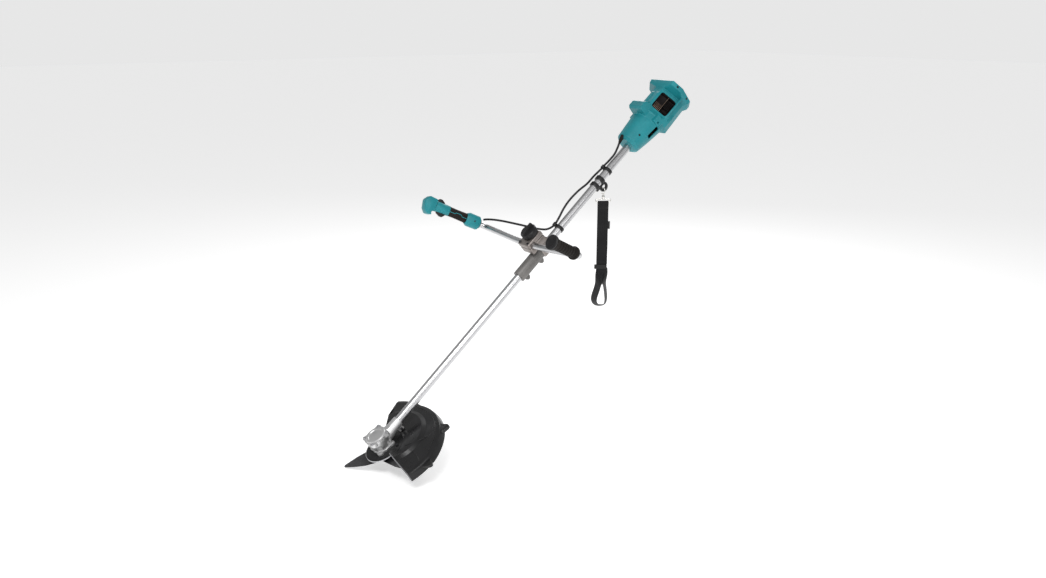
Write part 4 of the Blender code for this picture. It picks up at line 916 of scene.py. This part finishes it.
def make_hook():
    """Nickel snap hook, its gate, and the strap ring with its swivel."""
    half = 0.0078
    low = EYE.z - 0.027
    nose = HOOK_TOP - half - 0.0015
    crown = HOOK_TOP - half
    points = [FOOT + Y * half + Z * nose]
    for i in range(25):
        t = math.pi * i / 24
        points.append(FOOT + Y * (half * math.cos(t)) + Z * (crown + half * math.sin(t)))
    for i in range(13):
        t = math.pi / 2 * i / 12
        points.append(FOOT - Y * (half * math.cos(t)) + Z * (low + half - half * math.sin(t)))
    points.append(FOOT + Y * (half + 0.002) + Z * low)
    wire = swept("snap_hook_wire", points, 0.0024, 20)
    profile = [(-0.009, 0.0048), (-0.0085, 0.0055), (-0.0075, 0.0055), (-0.0068, 0.0048), (-0.006, 0.0034),
               (-0.003, 0.0031), (0.0004, 0.004)]
    stem = turned("stem", profile, FOOT + Z * (low + 0.001), Z, 32)
    stand_for(soften(combine(wire, "UNION", stem)), "nickel", "snap_hook")
    dress("nickel", "pin", 0.0004, 2, "hook_gate")

    half_w, half_h, corner = 0.027, 0.005, 0.004
    outline = []
    for quarter, (sx, sz) in enumerate(((1, 1), (-1, 1), (-1, -1), (1, -1))):
        for k in range(9):
            t = math.pi / 2 * (k / 8 + quarter)
            outline.append(FOOT + ACROSS * (sx * (half_w - corner) + corner * math.cos(t))
                           + Z * (RING_Z + sz * (half_h - corner) + corner * math.sin(t)))
    rings = []
    for i, point in enumerate(outline):
        ahead = (outline[(i + 1) % len(outline)] - outline[i - 1]).normalized()
        rings.append(circle(point, *square_axes(ahead, DEPTH), 0.0019, 20))
    ring = loft("strap_ring_wire", rings, closed=True)
    top = low - 0.008 - GAP
    drop = RING_Z + half_h - 0.001 - top
    collar = turned("collar", [(drop, 0.0036), (drop * 0.6, 0.0045), (-0.003, 0.006), (-0.0006, 0.006),
                               (0.0, 0.0054)], FOOT + Z * top, Z, 32)
    stand_for(soften(combine(ring, "UNION", collar)), "nickel", "strap_ring")


def band(name, path, widths, width):
    """A webbing strip along a path, with its own UV map in metres and a thin body."""
    cells = 12
    verts, faces, places = [], [], []
    run = 0.0
    for i, (point, side) in enumerate(zip(path, widths)):
        run += (point - path[max(i - 1, 0)]).length
        for j in range(cells + 1):
            share = j / cells - 0.5
            verts.append(point + side * (share * width))
            places.append((share * width, run))
    for i in range(len(path) - 1):
        for j in range(cells):
            a = i * (cells + 1) + j
            faces.append((a, a + 1, a + cells + 2, a + cells + 1))
    piece = new_mesh(name, verts, faces)
    weave = piece.data.uv_layers.new(name="weave")
    for loop in piece.data.loops:
        weave.data[loop.index].uv = places[loop.vertex_index]
    body = piece.modifiers.new("body", "SOLIDIFY")
    body.thickness = WEB_THICK
    body.offset = 0.0
    edge = piece.modifiers.new("edge", "BEVEL")
    edge.width = WEB_THICK * 0.3
    edge.segments = 2
    edge.limit_method = "ANGLE"
    edge.angle_limit = math.radians(50)
    apply_all(piece)
    bpy.ops.object.shade_smooth_by_angle(angle=math.radians(60))
    return piece, run


def make_strap():
    """Two plies from the ring to the slider, and the hanging hand loop below it."""
    ring_foot = RING_Z - 0.005

    def ply(share):
        """How far a ply lies from the strap's middle, and how high, at a share of the way up."""
        spread = PLY_GAP + (RING_TURN - PLY_GAP) * max(0.0, share - 0.85) / 0.15
        return spread, Z * (SLIDER_TOP + (ring_foot - SLIDER_TOP) * share)

    path = []
    for i in range(41):                          # front ply, from the slider up
        spread, height = ply(i / 40)
        sag = 0.0016 * math.sin(math.pi * i / 40) * math.sin(5 * math.pi * i / 40)
        path.append(FOOT - DEPTH * (spread - sag) + height)
    for i in range(1, 12):                       # over the ring
        t = math.pi * i / 12
        path.append(FOOT - DEPTH * (RING_TURN * math.cos(t)) + Z * (ring_foot + RING_TURN * math.sin(t)))
    for i in range(41):                          # back ply, down again
        spread, height = ply(1 - i / 40)
        path.append(FOOT + DEPTH * spread + height)
    widths = [ACROSS] * len(path)
    piece, length = band("strap_webbing_woven", path, widths, WEB_W)
    stand_for(piece, "webbing", "strap_webbing")

    top, bottom = SLIDER_TOP - 0.0166, WEB_BOTTOM
    outline = [(-0.001, top + 0.002), (-0.006, top - 0.035), (-0.015, top - 0.075), (-0.024, top - 0.105),
               (-0.0255, bottom + 0.03), (-0.017, bottom + 0.016), (0.0000, bottom + 0.012),
               (0.015, bottom + 0.017), (0.0195, bottom + 0.036), (0.0175, bottom + 0.062),
               (0.013, top - 0.06), (0.008, top - 0.028), (0.004, top + 0.002)]
    route = smooth_route([(u, 0, v) for u, v in outline], 0.004)
    path, widths = [], []
    last = len(route) - 1
    for i, point in enumerate(route):
        ahead = heading(route, i)
        outward = Vector((ahead.z, 0, -ahead.x))     # square to the run, away from the loop's middle
        share = i / last
        open_share = min(1.0, min(share, 1 - share) / 0.22)
        turn_out = math.radians(64) * (3 * open_share ** 2 - 2 * open_share ** 3)
        lift = math.copysign(0.0016, 0.5 - share) * (1 - open_share)
        path.append(FOOT + ACROSS * point.x + Z * point.z + DEPTH * lift)
        flat = ACROSS * outward.x + Z * outward.z
        widths.append((flat * math.cos(turn_out) + DEPTH * math.sin(turn_out)).normalized())
    piece, length = band("strap_loop_woven", path, widths, LOOP_W)
    stand_for(piece, "webbing", "strap_loop")

    axes = (ACROSS, DEPTH, Z)
    keeper = block("strap_keeper_tab", (0.0185, -0.0036, EYE.z - 0.156), (0.0268, 0.0036, EYE.z - 0.128),
                   axes, FOOT, 0.001)
    add_on(keeper, "black_plastic", "strap")
    for level in (ring_foot - 0.02, ring_foot - 0.023, SLIDER_TOP + 0.012):
        for k in range(9):
            u = -0.016 + 0.004 * k
            start = FOOT + ACROSS * u - DEPTH * 0.0023 + Z * level
            thread = [start, start + ACROSS * 0.0007 - DEPTH * 0.0005,
                      start + ACROSS * 0.0019 - DEPTH * 0.0005, start + ACROSS * 0.0026]
            stitch = swept("stitch_%d_%d" % (round((level - SLIDER_TOP) * 1000), k), thread, 0.0004, 6)
            add_on(soften(stitch), "stitching", "strap")


# ---------------------------------------------------------------- motor housing
HOUSE_FRONT = 0.496
HOUSE_REAR = 0.77
SHELL_T = 0.003
SLOT_TURN = math.radians(-8)                  # the cooling slot faces slightly down
SEAM = 0.0005                                 # between the housing halves
MOULD_VOXEL = 0.0013
PACK_LOW = Vector((0.0, 0.0655, 0.001))
PACK_HIGH = Vector((0.0, 0.02, 0.063))
SPLITS = 4                                    # points along each side of a section


def house_section(place, half_w, top, bottom, shoulder, top_w):
    """Half outline of the cradle: crown, sloping pack face, side and floor."""
    corners = [(0.0, top), (top_w, top), (half_w, shoulder), (half_w, bottom * 0.45),
               (half_w * 0.72, bottom), (0.0, bottom)]
    points = [corners[0]]
    for (y1, z1), (y2, z2) in zip(corners, corners[1:]):
        points += [(y1 + (y2 - y1) * k / SPLITS, z1 + (z2 - z1) * k / SPLITS) for k in range(1, SPLITS + 1)]
    return place, points


def nose_section(place, radius, centre):
    """Half outline of the round nose, as arcs between the cradle's corner directions."""
    turns = (90, 58, 20, -25, -62, -90)
    arcs = [90.0]
    for a, b in zip(turns, turns[1:]):
        arcs += [a + (b - a) * k / SPLITS for k in range(1, SPLITS + 1)]
    arcs = [math.radians(t) for t in arcs]
    return place, [(radius * math.cos(t), centre + radius * math.sin(t)) for t in arcs]


HOUSE = [nose_section(HOUSE_FRONT, 0.034, 0.01), nose_section(HOUSE_FRONT + 0.01, 0.045, 0.009),
         nose_section(0.56, 0.052, 0.006), nose_section(0.63, 0.059, 0.003),
         house_section(0.632, 0.064, 0.063, -0.058, 0.02, 0.03),
         house_section(0.65, 0.0655, 0.063, -0.056, 0.001, 0.02),
         house_section(0.744, 0.0655, 0.063, -0.052, 0.001, 0.02),
         house_section(0.754, 0.082, 0.072, -0.054, 0.034, 0.056),
         house_section(HOUSE_REAR, 0.083, 0.074, -0.054, 0.036, 0.058)]


def full_rings(inset=0.0):
    """Closed sections of the whole housing, drawn in towards the middle by a wall."""
    rings = []
    for place, half in HOUSE:
        centre = (half[0][1] + half[-1][1]) / 2
        reach = max(y for y, _ in half)
        rise = (half[0][1] - half[-1][1]) / 2
        x = place
        if inset and place == HOUSE_FRONT:
            x = place + inset
        if inset and place == HOUSE_REAR:
            x = place - inset
        points = [(y * (1 - inset / reach), centre + (z - centre) * (1 - inset / rise)) for y, z in half]
        rings.append([Vector((x, y, z)) for y, z in points]
                     + [Vector((x, -y, z)) for y, z in points[-2:0:-1]])
    return rings


def pack_axes(side):
    down = PACK_LOW - PACK_HIGH
    down = Vector((0, side * down.y, down.z)).normalized()
    return Vector((0, -down.z * side, down.y * side)).normalized(), down


def pack_centre(side):
    middle = (PACK_LOW + PACK_HIGH) / 2
    return Vector((0, side * middle.y, middle.z))


def slot_axes(side):
    c, s = math.cos(SLOT_TURN), math.sin(SLOT_TURN)
    return Vector((0, side * c, s)), Vector((0, -side * s, c))


def split_faces(piece):
    """Triangles throughout, so that the boolean meets only flat faces."""
    with editing(piece):
        bpy.ops.mesh.quads_convert_to_tris()
    return piece


def side_details(side):
    """What stands proud of one side: hump, collar, wing, bay ribs, flutes and top panel."""
    axes = (X, Y * side, Z)
    out, down = pack_axes(side)
    pack = (X, down, out)
    base = pack_centre(side)
    hump = [(0.608, 0.03), (0.608, 0.084), (0.614, 0.0925), (0.638, 0.0925), (0.645, 0.086),
            (0.652, 0.062), (0.652, 0.03)]
    wing = [(0.656, -0.01), (0.656, 0.0005), (0.666, 0.0035), (0.678, 0.013), (0.69, 0.017),
            (0.766, 0.0175), (0.766, -0.01)]
    raised = [plate("hump", hump, -0.001, 0.033, (X, Z, Y * side), ORIGIN),
              block("collar", (0.608, 0.02, -0.006), (0.64, 0.0645, 0.033), axes),
              plate("wing", wing, 0.0355, 0.0405, (X, out, down), base),
              block("panel", (0.664, 0.005, 0.06), (0.718, 0.0185, 0.0645), axes),
              block("rib_1", (0.733, -0.033, -0.004), (0.735, 0.038, 0.003), pack, base),
              block("rib_2", (0.739, -0.035, -0.004), (0.741, 0.038, 0.0048), pack, base)]
    for turn in (34, 8, -18):
        t = math.radians(turn)
        ray = Vector((0, side * math.cos(t), math.sin(t)))
        cross = Vector((0, -side * math.sin(t), math.cos(t)))
        lean = Vector((1.0, side * math.cos(t) * 0.096, math.sin(t) * 0.096)).normalized()
        raised.append(block("flute", (0.0, -0.008, -0.004), (0.086, 0.008, 0.0012), (lean, cross, ray),
                            Vector((0.516, 0, 0.0085)) + ray * 0.0446))
    return raised


def side_openings(side):
    """What is cut from one side after the moulding is rounded."""
    axes = (X, Y * side, Z)
    out, down = pack_axes(side)
    base = pack_centre(side)
    window = block("window", (0.656, -0.031, -0.03), (0.729, 0.035, 0.03), (X, down, out), base)
    only(window)
    edges = window.modifiers.new("corners", "BEVEL")
    edges.width = 0.009
    edges.segments = 6
    edges.limit_method = "WEIGHT"
    weights = window.data.attributes.new("bevel_weight_edge", "FLOAT", "EDGE")
    for edge in window.data.edges:
        a, b = (window.data.vertices[v].co for v in edge.vertices)
        weights.data[edge.index].value = 1.0 if abs((b - a).normalized().dot(out)) > 0.9 else 0.0
    apply_all(window)
    slot_out, slot_up = slot_axes(side)
    cuts = [window,
            block("slot", (0.56, -0.009, -0.03), (0.612, 0.009, 0.03), (X, slot_up, slot_out),
                  slot_out * 0.055, 0.001)]
    for k in range(7):
        low = 0.656 + 0.005 * k
        foot = -0.024 - 0.0006 * k
        cuts.append(block("slat", (low, 0.064, foot), (low + 0.0022, 0.07, foot + 0.013), axes))
    cuts.append(block("front_relief", (0.5, 0.01, -0.06), (0.53, 0.032, -0.0385), axes))
    return cuts


def make_housing():
    """Both halves of the moulded housing: rounded all over, hollow, split along its seam."""
    body = split_faces(loft("housing_solid", full_rings()))
    for side in (-1, 1):
        combine(body, "UNION", *side_details(side))
    remesh = body.modifiers.new("mould", "REMESH")
    remesh.mode = "VOXEL"
    remesh.voxel_size = MOULD_VOXEL
    apply_all(body)
    relax = body.modifiers.new("relax", "SMOOTH")
    relax.factor = 0.5
    relax.iterations = 4
    apply_all(body)
    combine(body, "DIFFERENCE", split_faces(loft("room", full_rings(SHELL_T))))
    tube_hole = turned("hole", [(0.45, TUBE_R + GAP), (0.53, TUBE_R + GAP)], ORIGIN, X, 64)
    boot_hole = turned("hole", [(0.0, 0.0075), (0.0305, 0.0075)], BOOT_START, BOOT_DIR, 40)
    combine(body, "DIFFERENCE", tube_hole, boot_hole)
    for side in (-1, 1):
        combine(body, "DIFFERENCE", *side_openings(side))
    for node in numbered("housing_screw", 4):
        low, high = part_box(node)
        middle = TOOL.inverted() @ ((low + high) / 2)
        middle.y -= 0.0012
        combine(body, "DIFFERENCE", turned("hole", [(-0.02, 0.0044), (0.0016, 0.0044)], middle, Y, 24))
    for side, word in ((-1, "left"), (1, "right")):
        half = add_object("housing_%s_moulded" % word, body.data.copy())
        with editing(half):
            bpy.ops.mesh.bisect(plane_co=(0, side * SEAM / 2, 0), plane_no=(0, side, 0), use_fill=True,
                                clear_inner=True)
        stand_for(soften(tilt(half)), "teal_plastic", "housing_" + word)
    bpy.data.objects.remove(body, do_unlink=True)


def make_bays():
    """Inside of the battery bays: trays, divider bars, rails and terminals."""
    for side, word in ((-1, "left"), (1, "right")):
        dress("bay_inside", "moulded", 0.0005, 2, "pack_tray_" + word)
        out, down = pack_axes(side)
        base = pack_centre(side)
        bars = [("divider_" + word, "terminal_brass", (0.6585, 0.0012, -0.02), (0.7265, 0.0028, -0.003))]
        for k in range(5):
            low = -0.025 + 0.0052 * k
            bars.append(("contact_%s_%d" % (word, k + 1), "terminal_brass", (0.664, low, -0.0195),
                         (0.69, low + 0.0018, -0.012)))
        for k in range(4):
            low = 0.007 + 0.0064 * k
            bars.append(("rail_%s_%d" % (word, k + 1), "bay_inside", (0.684, low, -0.0195),
                         (0.722, low + 0.0022, -0.011)))
        for name, finish, low, high in bars:
            bar = block("bay_" + name, low, high, (X, down, out), base, 0.0004)
            add_on(tilt(bar), finish, "frame")


# ------------------------------------------------------- remaining CAD nodes
def dress_the_rest():
    """CAD nodes that stay as they are still take their own finish."""
    for name, node in NODES.items():
        if not node.hide_render:
            node.data.materials.clear()
            node.data.materials.append(FINISH.get(SLOT_OF.get(name), FINISH["steel"]))


# ---------------------------------------------------------- stage, light, camera
def add_light(name, place, target, size, energy):
    data = bpy.data.lights.new(name, "AREA")
    data.shape = "RECTANGLE"
    data.size, data.size_y = size
    data.energy = energy
    light = add_object(name, data)
    light.location = place
    light.rotation_euler = (Vector(target) - Vector(place)).to_track_quat("-Z", "Y").to_euler()


FLOOR_GAP = 0.004
FLOOR_GLOW = 0.42
ROOM_LIGHT = 0.42


def make_stage():
    """Pale floor, bright surroundings and soft studio lights."""
    bpy.ops.object.select_all(action="DESELECT")
    bpy.ops.mesh.primitive_plane_add(size=60.0, location=(0, 0, cad_box[0][2] - FLOOR_GAP))
    floor = bpy.context.object
    floor.name = "floor"
    paint = bpy.data.materials.new("pale_floor")
    paint.use_nodes = True
    shader = paint.node_tree.nodes["Principled BSDF"]
    shader.inputs["Base Color"].default_value = (0.93, 0.93, 0.93, 1.0)
    shader.inputs["Roughness"].default_value = 0.9
    shader.inputs["Specular IOR Level"].default_value = 0.1
    shader.inputs["Emission Color"].default_value = (1.0, 1.0, 1.0, 1.0)
    shader.inputs["Emission Strength"].default_value = FLOOR_GLOW
    floor.data.materials.append(paint)

    bpy.context.scene.view_settings.view_transform = "Standard"
    world = bpy.data.worlds.new("bright_room")
    bpy.context.scene.world = world
    world.use_nodes = True
    sky = world.node_tree.nodes["Background"]
    sky.inputs["Color"].default_value = (1.0, 1.0, 1.0, 1.0)
    sky.inputs["Strength"].default_value = ROOM_LIGHT
    nodes, links = world.node_tree.nodes, world.node_tree.links
    backdrop = nodes.new("ShaderNodeBackground")
    backdrop.inputs["Strength"].default_value = 1.0
    ray = nodes.new("ShaderNodeLightPath")
    choice = nodes.new("ShaderNodeMixShader")
    links.new(ray.outputs["Is Camera Ray"], choice.inputs["Fac"])
    links.new(sky.outputs["Background"], choice.inputs[1])
    links.new(backdrop.outputs["Background"], choice.inputs[2])
    links.new(choice.outputs["Shader"], nodes["World Output"].inputs["Surface"])
    add_light("key", (-2.2, -1.6, 2.6), (0, 0, 0.1), (1.6, 1.2), 70)
    add_light("side", (-0.4, -3.0, 1.2), (0, 0, 0.1), (1.2, 1.6), 22)
    add_light("rim", (1.8, 1.6, 1.9), (0.1, 0, 0.1), (1.2, 1.2), 34)


def make_camera():
    azimuth = math.radians(-36.0)
    elevation = math.radians(16.5)
    lens = bpy.data.cameras.new("camera")
    lens.lens = 31.5
    lens.sensor_width = 36.0
    lens.clip_end = 100.0
    camera = add_object("camera", lens)
    camera.location = (-1.8861, -2.4735, 0.7687)
    look = Vector((-math.sin(azimuth) * math.cos(elevation), math.cos(azimuth) * math.cos(elevation),
                   -math.sin(elevation)))
    camera.rotation_euler = look.to_track_quat("-Z", "Y").to_euler()
    bpy.context.scene.camera = camera


make_camera()
make_stage()
make_cables()
make_tube()
make_bar()
make_left_grip()
make_right_grip()
make_guard()
make_gear_head()
make_middle()
make_hook()
make_strap()
make_housing()
make_bays()
dress_the_rest()
